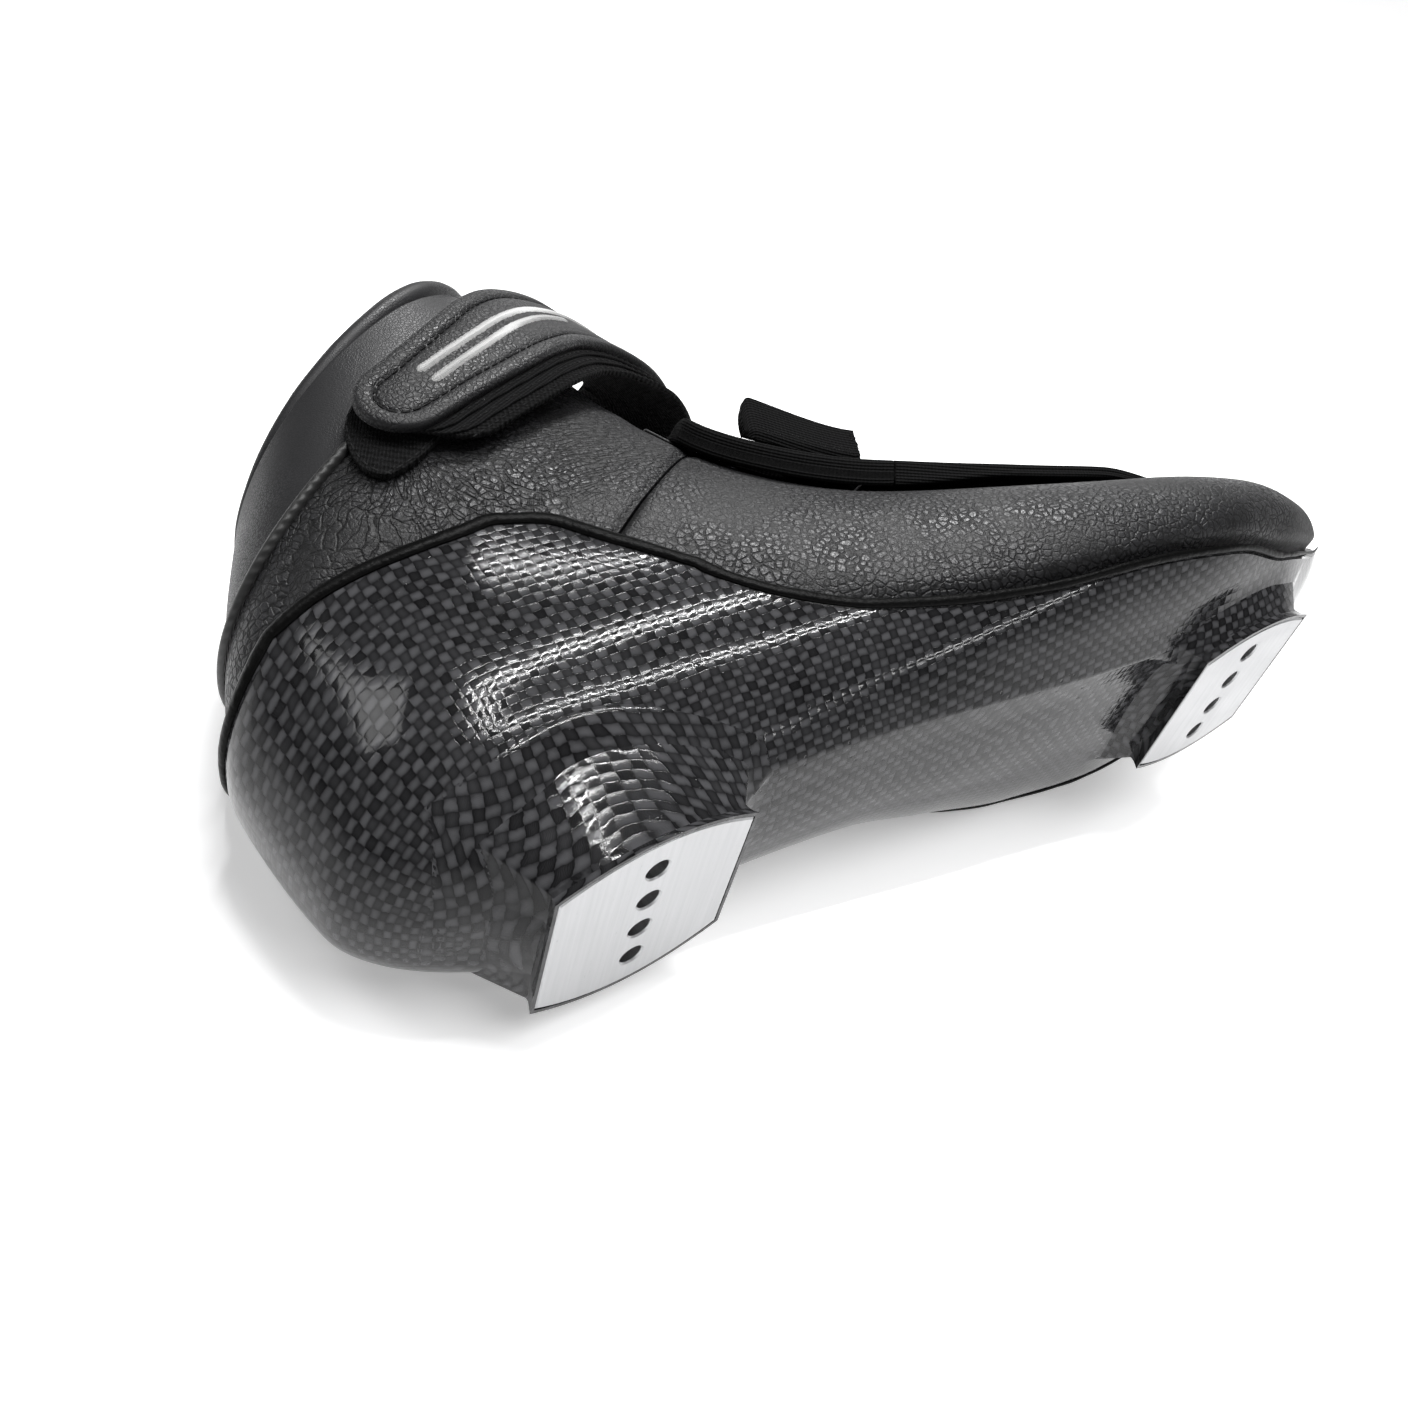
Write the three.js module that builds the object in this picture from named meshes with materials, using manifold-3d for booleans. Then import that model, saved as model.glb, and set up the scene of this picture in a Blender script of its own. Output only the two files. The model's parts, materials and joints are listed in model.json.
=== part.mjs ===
// A blade-less speed skating boot for the right foot, laid on its inner side.
// Millimetres. Everything is modelled in the boot's own axes first: x from heel to toe, y to the inner
// side, z from sole to collar, with the middle of the heel mounting plate's face at the origin. The outer
// group then lays the boot down, so that it rests on its inner side with the toe towards +X.
import * as THREE from "three";
import { mergeVertices } from "three/addons/utils/BufferGeometryUtils.js";
import Module from "manifold-3d";

const wasm = await Module();
wasm.setup();

// ---------------------------------------------------------------- driving dimensions
const MOUNT_SPACING = 165; // heel plate to toe plate, centre to centre
const TOE_PLATE_DROP = 11; // the toe plate's face is this much lower than the heel plate's
const TOE_PLATE_SHIFT = 5; // and this much nearer the inner side
const HEEL_PLATE = { length: 42, width: 34, bulge: 5.5, flare: 9 };
const TOE_PLATE = { length: 37, width: 36, bulge: 4.0, flare: 5 };
const BLOCK_THICKNESS = 7;
const HOLE_PITCH = 9.4;
const HOLE_RADIUS = 2.5; // M6 tapping size
const HOLE_DEPTH = 6;
const HOLES = 4;
const HOLE_SIDES = 12;

const GAP = 0.3; // between pieces that touch
const SHELL_WALL = 1.6; // carbon laminate
const BLOCK_RIM = 0.4; // the blocks stand this much proud of the laminate round them
const LEATHER = 1.8;
const LEATHER_RECESS = 2.7; // leather starts this deep below the form, inside the shell
const LEATHER_PUFF = 2.3; // and swells back out by this much above the rim
const LEATHER_TUCK = 0.05; // how far it goes down inside the shell, in half turns
const BOARD = { depth: 3.0, thickness: 2.4 };
const LINER = { depth: 7.1, thickness: 2.0 };
const FOOTBED = { depth: 10.1, thickness: 3.0 };
const TONGUE = { depth: 3.0, thickness: 2.2 };
const BEAD_RADIUS = 1.1; // sealant along the shell's rim
const PIPING_RADIUS = 1.0;
const COLLAR_RADIUS = 2.6;

const EYESTAY = { width: 0.05, thickness: 0.7 };
const EYELET = { flange: 2.8, barrel: 1.9, bore: 1.3, height: 0.6, sides: 8 };
const EYELET_STATIONS = [0.3, 0.375, 0.445, 0.51, 0.57, 0.625];
const LACE_RADIUS = 0.8;
const COVER = { thickness: 1.6, top: 5.3, toeTop: 2.0, edgeRise: 1.2, edgeRadius: 1.4 };
const COVER_SPLIT = 0.4485; // where the lace cover ends and the instep guard begins
const GUARD_END = 0.64;

const STRAP_LEATHER = 1.9;
const STRAP_BACKING = 1.9;
const STRAP_WIDTH = { end: 22, front: 27 };
const PATCH = 1.2; // loop patch and strap anchor, sewn on the leather
const TAB = { height: 11, thickness: 1.5, hook: 1.2 };

// The boot lies on its inner side, on the ball of the foot, the heel cup and the strap's sewn end. These are
// the angles by which its x and z axes rise from the surface.
const TOE_RISE = THREE.MathUtils.degToRad(7.22);
const COLLAR_RISE = THREE.MathUtils.degToRad(5.04);

// ---------------------------------------------------------------- the boot's form
// The form is a row of closed sections from the toe tip (t = 0) to the collar's rim (t = 1). Across the
// foot they are upright; round the heel they fan out about the instep, and at the collar they lie nearly
// level. Each has a low point (bx, bz), a high point (tx, tz), an outer and an inner half width, the height
// share where it is widest, the squareness of its lower and upper half, and a sideways shift.
const FORM = [
  // t, bx, bz, tx, tz, outer, inner, widest, lower, upper, shift
  [0.0, 216, 11, 216, 13, 1, 1, 0.5, 2.2, 2.2, 6],
  [0.01, 214, 6, 213, 19, 13, 11, 0.5, 2.3, 2.2, 6],
  [0.04, 209, 1, 206, 26, 24, 20, 0.46, 2.4, 2.1, 6],
  [0.09, 198, -2, 194, 31, 34, 30, 0.42, 2.5, 2.0, 6],
  [0.17, 178, -4, 173, 37, 42, 41, 0.38, 2.6, 1.9, 4],
  [0.28, 150, -4, 146, 45, 46, 48, 0.34, 2.7, 1.85, 2],
  [0.38, 120, -2, 119, 57, 44, 46, 0.34, 2.7, 1.85, 1],
  [0.47, 90, 1, 96, 72, 39, 39, 0.34, 2.6, 1.9, 1],
  [0.55, 62, 4, 81, 88, 35, 34, 0.36, 2.6, 1.9, 0],
  [0.63, 30, 6, 75, 101, 34, 33, 0.38, 2.6, 1.9, 0],
  [0.7, 0, 7, 72, 112, 34, 34, 0.4, 2.6, 1.9, 0],
  [0.77, -28, 9, 70, 119, 34, 34, 0.42, 2.5, 2.0, 0],
  [0.84, -51, 26, 68, 126, 34, 34, 0.46, 2.3, 2.0, 0],
  [0.9, -54, 55, 66, 134, 33, 34, 0.5, 2.2, 2.0, 0],
  [0.95, -43, 86, 63, 146, 34, 35, 0.52, 2.2, 2.0, 0],
  [1.0, -29, 114, 56, 160, 35, 36, 0.52, 2.2, 2.0, 0],
];
// The carbon shell's rim: how far round the section, in half turns from the sole, at each station.
const RIM = [
  [0.0, 0.42], [0.04, 0.27], [0.1, 0.22], [0.17, 0.22], [0.26, 0.27], [0.35, 0.308], [0.42, 0.322],
  [0.475, 0.35], [0.515, 0.371], [0.56, 0.396], [0.61, 0.446], [0.667, 0.496], [0.733, 0.53],
  [0.79, 0.542], [0.828, 0.515], [0.848, 0.483], [0.878, 0.404], [0.902, 0.304], [0.913, 0.22],
];
const RIM_END = 0.913;
// The throat's edge, in half turns from the sole. Ahead of THROAT_START the upper is closed.
const THROAT_START = 0.2;
const THROAT = [
  [0.2, 0.985], [0.26, 0.925], [0.4, 0.9], [0.6, 0.885], [0.8, 0.87], [1.0, 0.86],
];
// The lace cover's half width, in mm, at each station.
const COVER_HALF = [
  [0.03, 3], [0.04, 8], [0.07, 13], [0.12, 18], [0.2, 23], [0.3, 25], [0.45, 25], [0.64, 21],
];
const PIPING_AT = 0.9475; // station of the piping between the quarters and the rear cuff

// A smooth curve through rows of keys, with no overshoot between them.
function smooth(rows, x) {
  const n = rows.length;
  const at = Math.min(Math.max(x, rows[0][0]), rows[n - 1][0]);
  let k = 0;
  while (k < n - 2 && at > rows[k + 1][0]) k++;
  const step = (i) => rows[i + 1][0] - rows[i][0];
  const rise = (i, c) => (rows[i + 1][c] - rows[i][c]) / step(i);
  const slope = (i, c) => {
    if (i === 0) return rise(0, c);
    if (i === n - 1) return rise(n - 2, c);
    const before = rise(i - 1, c);
    const after = rise(i, c);
    if (before * after <= 0) return 0;
    const w1 = 2 * step(i) + step(i - 1);
    const w2 = step(i) + 2 * step(i - 1);
    return (w1 + w2) / (w1 / before + w2 / after);
  };
  const h = step(k);
  const s = (at - rows[k][0]) / h;
  const values = [];
  for (let c = 1; c < rows[0].length; c++) {
    const a = rows[k][c];
    const b = rows[k + 1][c];
    const da = slope(k, c) * h;
    const db = slope(k + 1, c) * h;
    const s2 = s * s;
    const s3 = s2 * s;
    values.push(a * (2 * s3 - 3 * s2 + 1) + da * (s3 - 2 * s2 + s) + b * (3 * s2 - 2 * s3) + db * (s3 - s2));
  }
  return values;
}
const clamp01 = (x) => Math.min(Math.max(x, 0), 1);
const ease = (x) => clamp01(x) ** 2 * (3 - 2 * clamp01(x));
const mix = (a, b, s) => a + (b - a) * s;

// A point on the form. turn is in half turns from the sole: above 0 on the outer side, below 0 on the inner.
function formPoint(t, turn) {
  const [bx, bz, tx, tz, outer, inner, widest, lower, upper, shift] = smooth(FORM, t);
  const c = Math.cos(turn * Math.PI);
  const s = Math.sin(turn * Math.PI);
  const power = 2 / (c > 0 ? lower : upper);
  const up = Math.sign(c) * Math.abs(c) ** power;
  const across = Math.sign(s) * Math.abs(s) ** power;
  const share = up > 0 ? widest * (1 - up) : widest - (1 - widest) * up;
  const half = across > 0 ? outer : inner;
  return new THREE.Vector3(mix(bx, tx, share), shift - half * across, mix(bz, tz, share));
}

function formNormal(t, turn) {
  const e = 0.002;
  const t0 = Math.max(t, 0.004);
  const along = formPoint(Math.min(t0 + e, 1), turn).sub(formPoint(Math.max(t0 - e, 0), turn));
  const round = formPoint(t0, turn + e).sub(formPoint(t0, turn - e));
  return round.cross(along).normalize();
}

const onForm = (t, turn, lift) => formPoint(t, turn).addScaledVector(formNormal(t, turn), lift);
const rimTurn = (t) => smooth(RIM, t)[0];
const throatTurn = (t) => (t <= THROAT_START ? 0.998 : smooth(THROAT, t)[0]);

// How far the upper stands out of the rim's recess at a place on the form.
function upperLift(t, turn) {
  const side = (Math.abs(turn) - rimTurn(t)) / 0.09;
  const back = (t - RIM_END - 0.004) / 0.02;
  return -LEATHER_RECESS + LEATHER_PUFF * ease(Math.max(side, back));
}

// ---------------------------------------------------------------- solids
// Two sheets of (nu + 1) x (nv + 1) points, joined round their edges. Where flip(u, v) is true the quads are
// split along their other diagonal, which keeps the two sides of the boot alike.
function solidFromGrid(outerPoint, innerPoint, nu, nv, flip = () => false) {
  const points = [];
  const index = [];
  const at = (sheet, i, j) => sheet * (nu + 1) * (nv + 1) + i * (nv + 1) + j;
  for (const place of [outerPoint, innerPoint])
    for (let i = 0; i <= nu; i++)
      for (let j = 0; j <= nv; j++) points.push(...place(i / nu, j / nv).toArray());
  const quad = (a, b, c, d) => index.push(a, b, c, a, c, d);
  for (let i = 0; i < nu; i++)
    for (let j = 0; j < nv; j++) {
      const ring = [[i, j], [i + 1, j], [i + 1, j + 1], [i, j + 1]];
      if (flip((i + 0.5) / nu, (j + 0.5) / nv)) ring.push(ring.shift());
      quad(...ring.map(([a, b]) => at(0, a, b)));
      quad(...ring.map(([a, b]) => at(1, a, b)).reverse().map((_, k, all) => all[(k + 3) % 4]));
    }
  for (let i = 0; i < nu; i++) {
    quad(at(0, i, 0), at(1, i, 0), at(1, i + 1, 0), at(0, i + 1, 0));
    quad(at(0, i, nv), at(0, i + 1, nv), at(1, i + 1, nv), at(1, i, nv));
  }
  for (let j = 0; j < nv; j++) {
    quad(at(0, 0, j), at(0, 0, j + 1), at(1, 0, j + 1), at(1, 0, j));
    quad(at(0, nu, j), at(1, nu, j), at(1, nu, j + 1), at(0, nu, j + 1));
  }
  const g = new THREE.BufferGeometry();
  g.setAttribute("position", new THREE.Float32BufferAttribute(points, 3));
  g.setIndex(index);
  return facingOut(g);
}

function volumeOf(g) {
  const p = g.getAttribute("position");
  const a = new THREE.Vector3();
  const b = new THREE.Vector3();
  const c = new THREE.Vector3();
  let six = 0;
  for (let i = 0; i < g.index.count; i += 3) {
    a.fromBufferAttribute(p, g.index.getX(i));
    b.fromBufferAttribute(p, g.index.getX(i + 1));
    c.fromBufferAttribute(p, g.index.getX(i + 2));
    six += a.dot(b.clone().cross(c));
  }
  return six / 6;
}

function facingOut(g) {
  if (volumeOf(g) < 0) {
    const index = Array.from(g.index.array);
    for (let i = 0; i < index.length; i += 3) [index[i + 1], index[i + 2]] = [index[i + 2], index[i + 1]];
    g.setIndex(index);
  }
  return g;
}

// A sheet on the form. place(u, v) gives its station and turn; top and bottom give its faces' heights.
function sheet(place, top, bottom, nu, nv) {
  const face = (height) => (u, v) => {
    const [t, turn] = place(u, v);
    return onForm(t, turn, height(t, turn));
  };
  const towardsSole = (u, v) => place(u, v)[1] * (place(u, v + 0.01)[1] - place(u, v)[1]) < 0;
  return solidFromGrid(face(top), face(bottom), nu, nv, towardsSole);
}
const flat = (height) => () => height;

// A round cord along a path of points.
function cord(points, radius, steps, sides) {
  const path = new THREE.CatmullRomCurve3(points);
  const section = new THREE.Shape();
  for (let k = 0; k < sides; k++) {
    const a = (2 * Math.PI * k) / sides;
    section[k ? "lineTo" : "moveTo"](radius * Math.cos(a), radius * Math.sin(a));
  }
  section.closePath();
  const g = new THREE.ExtrudeGeometry(section, { steps, extrudePath: path, bevelEnabled: false });
  g.deleteAttribute("normal");
  g.deleteAttribute("uv");
  return facingOut(mergeVertices(g, 1e-3));
}

// Booleans go through manifold-3d.
function toManifold(geometry) {
  const g = geometry.clone();
  g.deleteAttribute("normal");
  g.deleteAttribute("uv");
  const merged = mergeVertices(g, 1e-3);
  const triVerts = new Uint32Array(merged.index.array);
  return new wasm.Manifold(
    new wasm.Mesh({ numProp: 3, vertProperties: merged.attributes.position.array, triVerts }),
  );
}

function fromManifold(solid) {
  const mesh = solid.getMesh();
  const g = new THREE.BufferGeometry();
  g.setAttribute("position", new THREE.BufferAttribute(new Float32Array(mesh.vertProperties), 3));
  g.setIndex(new THREE.BufferAttribute(new Uint32Array(mesh.triVerts), 1));
  return g;
}

// ---------------------------------------------------------------- materials
const material = (color, roughness, metalness) =>
  new THREE.MeshStandardMaterial({ color, roughness, metalness });
const CARBON = material(0x1a1a1c, 0.15, 0.2);
const ALUMINIUM = material(0xc9cacd, 0.35, 1.0);
const BLACK_LEATHER = material(0x232325, 0.5, 0.0);
const SMOOTH_LEATHER = material(0x26262a, 0.6, 0.0);
const LINING = material(0x1d1d1f, 0.9, 0.0);
const FOAM = material(0x333338, 0.9, 0.0);
const HOOK_LOOP = material(0x0b0b0c, 0.95, 0.0);
const TRIM = material(0x0d0d0e, 0.45, 0.0);
const LACE = material(0x19191b, 0.8, 0.0);
const EYELET_METAL = material(0x2c2c30, 0.4, 0.8);

const boot = new THREE.Group();
function add(name, geometry, finish) {
  const mesh = new THREE.Mesh(geometry, finish);
  mesh.name = name;
  boot.add(mesh);
  return mesh;
}

// ---------------------------------------------------------------- mounting blocks
// A plate with straight ends and bowed sides, as seen on the sole.
function plateOutline(plate, grow) {
  const a = plate.length / 2 + grow;
  const b = plate.width / 2 + grow;
  const shape = new THREE.Shape();
  shape.moveTo(-a, -b);
  shape.quadraticCurveTo(0, -b - 2 * plate.bulge, a, -b);
  shape.lineTo(a, b);
  shape.quadraticCurveTo(0, b + 2 * plate.bulge, -a, b);
  shape.closePath();
  return shape;
}

function plateSolid(plate, grow, bottom, top) {
  const depth = top - bottom;
  const g = new THREE.ExtrudeGeometry(plateOutline(plate, grow), { depth, bevelEnabled: false, curveSegments: 8 });
  return g.translate(plate.at.x, plate.at.y, plate.at.z + bottom);
}

function mountingBlock(plate) {
  let block = toManifold(plateSolid(plate, 0, 0, BLOCK_THICKNESS));
  for (let k = 0; k < HOLES; k++) {
    const hole = new THREE.CylinderGeometry(HOLE_RADIUS, HOLE_RADIUS, 2 * HOLE_DEPTH, HOLE_SIDES);
    hole.rotateX(Math.PI / 2);
    hole.translate(plate.at.x, plate.at.y + (k - (HOLES - 1) / 2) * HOLE_PITCH, plate.at.z);
    block = block.subtract(toManifold(hole));
  }
  return fromManifold(block);
}

HEEL_PLATE.at = new THREE.Vector3(0, 0, 0);
TOE_PLATE.at = new THREE.Vector3(MOUNT_SPACING, TOE_PLATE_SHIFT, -TOE_PLATE_DROP);
add("heel_mounting_block", mountingBlock(HEEL_PLATE), ALUMINIUM);
add("toe_mounting_block", mountingBlock(TOE_PLATE), ALUMINIUM);

// ---------------------------------------------------------------- carbon shell
// Heel cup, sole and low side walls in one laminate, with a flared pedestal round each mounting block.
// The place on the form's underside that lies over a point of the plan, found by Newton's method.
function underside(x, y) {
  let t = 0.7 - x / 400;
  let turn = -y / 120;
  const e = 1e-4;
  for (let k = 0; k < 30; k++) {
    const p = formPoint(t, turn);
    const dt = formPoint(t + e, turn).sub(p).divideScalar(e);
    const dturn = formPoint(t, turn + e).sub(p).divideScalar(e);
    const det = dt.x * dturn.y - dturn.x * dt.y;
    const ex = x - p.x;
    const ey = y - p.y;
    t += THREE.MathUtils.clamp((ex * dturn.y - dturn.x * ey) / det, -0.03, 0.03);
    turn += THREE.MathUtils.clamp((dt.x * ey - ex * dt.y) / det, -0.05, 0.05);
  }
  return formPoint(t, turn);
}

function pedestal(plate) {
  const steps = 4;
  const outline = plateOutline(plate, GAP + SHELL_WALL * 0.6).getPoints(6).slice(0, -1);
  const foot = outline.map((p) => new THREE.Vector3(plate.at.x + p.x, plate.at.y + p.y, plate.at.z + BLOCK_RIM));
  const head = outline.map((p) => {
    const out = new THREE.Vector2(p.x / plate.length, p.y / plate.width).setLength(plate.flare);
    return underside(plate.at.x + p.x + out.x, plate.at.y + p.y + out.y);
  });
  const points = [];
  for (let k = 0; k <= steps; k++)
    foot.forEach((a, i) => {
      const bend = new THREE.Vector3(mix(a.x, head[i].x, 0.15), mix(a.y, head[i].y, 0.15), mix(a.z, head[i].z, 0.7));
      points.push(...new THREE.QuadraticBezierCurve3(a, bend, head[i]).getPoint(k / steps).toArray());
    });
  const middle = new THREE.Vector3(plate.at.x, plate.at.y, plate.at.z + BLOCK_THICKNESS + 14);
  head.forEach((p) => points.push(...p.clone().lerp(middle, 0.3).toArray()));
  const n = outline.length;
  const index = [];
  for (let k = 0; k <= steps; k++)
    for (let i = 0; i < n; i++) {
      const j = (i + 1) % n;
      index.push(k * n + i, k * n + j, (k + 1) * n + j, k * n + i, (k + 1) * n + j, (k + 1) * n + i);
    }
  const bottom = points.length / 3;
  points.push(plate.at.x, plate.at.y, plate.at.z + BLOCK_RIM, ...middle.toArray());
  for (let i = 0; i < n; i++) {
    const j = (i + 1) % n;
    index.push(bottom, j, i, bottom + 1, (steps + 1) * n + i, (steps + 1) * n + j);
  }
  const g = new THREE.BufferGeometry();
  g.setAttribute("position", new THREE.Float32BufferAttribute(points, 3));
  g.setIndex(index);
  return facingOut(g);
}

// The room inside the laminate, as one closed body.
function formBody(lift, nt, nr) {
  const points = [];
  const index = [];
  for (let i = 0; i <= nt; i++)
    for (let j = 0; j < nr; j++) points.push(...onForm(mix(0.01, 0.99, i / nt), (2 * j) / nr - 1, lift).toArray());
  for (let i = 0; i < nt; i++)
    for (let j = 0; j < nr; j++) {
      const k = (j + 1) % nr;
      index.push(i * nr + j, i * nr + k, (i + 1) * nr + k, i * nr + j, (i + 1) * nr + k, (i + 1) * nr + j);
    }
  for (let j = 1; j < nr - 1; j++) {
    index.push(0, j + 1, j);
    index.push(nt * nr, nt * nr + j, nt * nr + j + 1);
  }
  const g = new THREE.BufferGeometry();
  g.setAttribute("position", new THREE.Float32BufferAttribute(points, 3));
  g.setIndex(index);
  return facingOut(g);
}

const shellPlace = (u, v) => [RIM_END * u, (2 * v - 1) * rimTurn(RIM_END * u)];
const room = toManifold(formBody(-SHELL_WALL / 2, 40, 32));
let shell = toManifold(sheet(shellPlace, flat(0), flat(-SHELL_WALL), 32, 18));
for (const plate of [HEEL_PLATE, TOE_PLATE]) {
  const flare = toManifold(pedestal(plate)).subtract(room);
  const boss = toManifold(plateSolid(plate, GAP + SHELL_WALL, BLOCK_RIM, BLOCK_THICKNESS + GAP + SHELL_WALL));
  const pocket = toManifold(plateSolid(plate, GAP, -1, BLOCK_THICKNESS + GAP));
  shell = shell.add(flare).add(boss).subtract(pocket);
}
add("carbon_shell", fromManifold(shell), CARBON);

const RIM_STEPS = 40;
// The rim as a path of places, from the toe round the outer side, the heel and the inner side.
function rimPath() {
  const places = [];
  for (let k = 0; k <= RIM_STEPS; k++) {
    const t = mix(0.02, RIM_END, (1 - Math.cos((Math.PI * k) / RIM_STEPS)) / 2);
    places.push([t, rimTurn(t)]);
  }
  for (let k = 1; k < 6; k++) places.push([RIM_END, mix(rimTurn(RIM_END), 0, k / 6)]);
  const back = places.map(([t, turn]) => [t, -turn]).reverse();
  return [...places, [RIM_END, 0], ...back];
}
function besideRim(places, out, lift) {
  return places.map(([t, turn], k) => {
    const [ta, turna] = places[Math.max(k - 1, 0)];
    const [tb, turnb] = places[Math.min(k + 1, places.length - 1)];
    const along = formPoint(tb, turnb).sub(formPoint(ta, turna)).normalize();
    const normal = formNormal(t, turn);
    const away = along.cross(normal).normalize();
    return onForm(t, turn, lift).addScaledVector(away, out);
  });
}
const beadPath = besideRim(rimPath(), BEAD_RADIUS + 4 * GAP, 0.4);
add("shell_rim_bead", cord(beadPath, BEAD_RADIUS, 96, 6), TRIM);

// ---------------------------------------------------------------- leather upper
const leatherBottom = (t, turn) => upperLift(t, turn) - LEATHER;
const tuckTurn = (t) => mix(Math.max(rimTurn(t) - LEATHER_TUCK, 0.01), 0.004, ease((t - 0.875) / 0.03));
const seamStation = (v) => 0.767 - 0.165 * v; // the seam between vamp and quarters leans forward upwards
const millimetre = (turn) => 0.01 / formPoint(0.955, turn).distanceTo(formPoint(0.945, turn));
// Between quarters and cuff there is room for the piping, and past its ends they nearly meet.
const PIPING_REACH = [-0.44, 0.375];
const pipingRoom = (turn) => {
  const past = Math.max(turn - PIPING_REACH[1], PIPING_REACH[0] - turn);
  return mix(PIPING_RADIUS + 3 * GAP, GAP, ease(past / 0.05)) * millimetre(turn);
};

function vampHalf(side) {
  const place = (u, v) => {
    const t = u * (seamStation(v ** 1.3) - 0.0035);
    const top = t <= THROAT_START ? 1.004 : throatTurn(t);
    return [t, side * mix(tuckTurn(t), top, v ** 1.3)];
  };
  return toManifold(sheet(place, upperLift, leatherBottom, 20, 7));
}
add("vamp", fromManifold(vampHalf(1).add(vampHalf(-1))), BLACK_LEATHER);

for (const [name, side] of [["quarter_lateral", 1], ["quarter_medial", -1]]) {
  const place = (u, v) => {
    const rough = mix(seamStation(v), PIPING_AT, u);
    const turn = mix(tuckTurn(rough), throatTurn(rough), v ** 1.3);
    const end = PIPING_AT - pipingRoom(side * turn);
    return [mix(seamStation(v ** 1.3), end, u), side * turn];
  };
  add(name, sheet(place, upperLift, leatherBottom, 12, 13), BLACK_LEATHER);
}

const CUFF_LIFT = LEATHER_PUFF - LEATHER_RECESS;
const cuffPlace = (u, v) => {
  const turn = mix(-1, 1, v) * throatTurn(0.97);
  return [mix(PIPING_AT + pipingRoom(turn), 1, u), turn];
};
add("rear_cuff", sheet(cuffPlace, flat(CUFF_LIFT), flat(CUFF_LIFT - LEATHER), 3, 22), SMOOTH_LEATHER);

const across = (n, from, to) => Array.from({ length: n + 1 }, (_, k) => mix(from, to, k / n));
const pipingPath = across(24, ...PIPING_REACH).map((turn) => onForm(PIPING_AT, turn, -0.4));
add("cuff_piping", cord(pipingPath, PIPING_RADIUS, 32, 6), TRIM);

// The padded roll closes the collar's top, over the cuff and the liner.
const collarPath = across(26, -throatTurn(1), throatTurn(1)).map((turn) => {
  const rise = formPoint(1, turn).sub(formPoint(0.985, turn)).normalize();
  return onForm(1, turn, -4.2).addScaledVector(rise, COLLAR_RADIUS + GAP);
});
add("collar_roll", cord(collarPath, COLLAR_RADIUS, 30, 8), SMOOTH_LEATHER);

// ---------------------------------------------------------------- inside the boot
const boardHalf = (t) => Math.min(rimTurn(t) - LEATHER_TUCK - 0.03, 0.22);
const boardPlace = (u, v) => {
  const t = mix(0.05, 0.74, u);
  return [t, (2 * v - 1) * boardHalf(t)];
};
add("insole_board", sheet(boardPlace, flat(-BOARD.depth), flat(-BOARD.depth - BOARD.thickness), 12, 4), LINING);

const linerPlace = (u, v) => {
  const t = u < 0.4 ? mix(0.05, 0.6, u / 0.4) : mix(0.6, 0.998, (u - 0.4) / 0.6);
  const top = t <= THROAT_START + 0.02 ? 0.985 : throatTurn(t) - 0.02;
  return [t, (2 * v - 1) * top];
};
add("liner", sheet(linerPlace, flat(-LINER.depth), flat(-LINER.depth - LINER.thickness), 20, 16), LINING);

const footbedPlace = (u, v) => {
  const t = mix(0.075, 0.745, u);
  return [t, (2 * v - 1) * Math.min(boardHalf(t) + 0.04, 0.26)];
};
add("footbed", sheet(footbedPlace, flat(-FOOTBED.depth), flat(-FOOTBED.depth - FOOTBED.thickness), 12, 4), FOAM);

const PAD_ROOM = 1.0;
for (const [name, side] of [["ankle_pad_lateral", 1], ["ankle_pad_medial", -1]]) {
  const place = (u, v) => [mix(0.77, 0.925, u), side * mix(0.5, 0.74, v)];
  const top = (t, turn) => leatherBottom(t, turn) - PAD_ROOM;
  add(name, sheet(place, top, flat(PAD_ROOM - LINER.depth), 5, 5), FOAM);
}

const tonguePlace = (u, v) => [mix(0.27, 0.99, u), mix(0.82, 1.18, v)];
add("tongue", sheet(tonguePlace, flat(-TONGUE.depth), flat(-TONGUE.depth - TONGUE.thickness), 16, 5), SMOOTH_LEATHER);

// ---------------------------------------------------------------- lacing
const EYESTAY_TOP = CUFF_LIFT + GAP + EYESTAY.thickness;
const eyeletTurn = (t) => throatTurn(t) - 0.55 * EYESTAY.width - 0.004;
function upright(geometry, t, turn, lift) {
  // Stands a shape made along +Y on the form, along its normal.
  const turnTo = new THREE.Quaternion().setFromUnitVectors(new THREE.Vector3(0, 1, 0), formNormal(t, turn));
  const at = onForm(t, turn, lift);
  return geometry.applyMatrix4(new THREE.Matrix4().compose(at, turnTo, new THREE.Vector3(1, 1, 1)));
}
for (const [name, side] of [["eyestay_lateral", 1], ["eyestay_medial", -1]]) {
  const place = (u, v) => {
    const t = mix(0.25, 0.7, u);
    return [t, side * (throatTurn(t) - 0.004 - EYESTAY.width * v)];
  };
  let stay = toManifold(sheet(place, flat(EYESTAY_TOP), flat(CUFF_LIFT + GAP), 10, 2));
  for (const t of EYELET_STATIONS) {
    const bore = new THREE.CylinderGeometry(EYELET.barrel + GAP, EYELET.barrel + GAP, 4, EYELET.sides);
    stay = stay.subtract(toManifold(upright(bore, t, side * eyeletTurn(t), EYESTAY_TOP)));
  }
  add(name, fromManifold(stay), SMOOTH_LEATHER);
}
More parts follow.
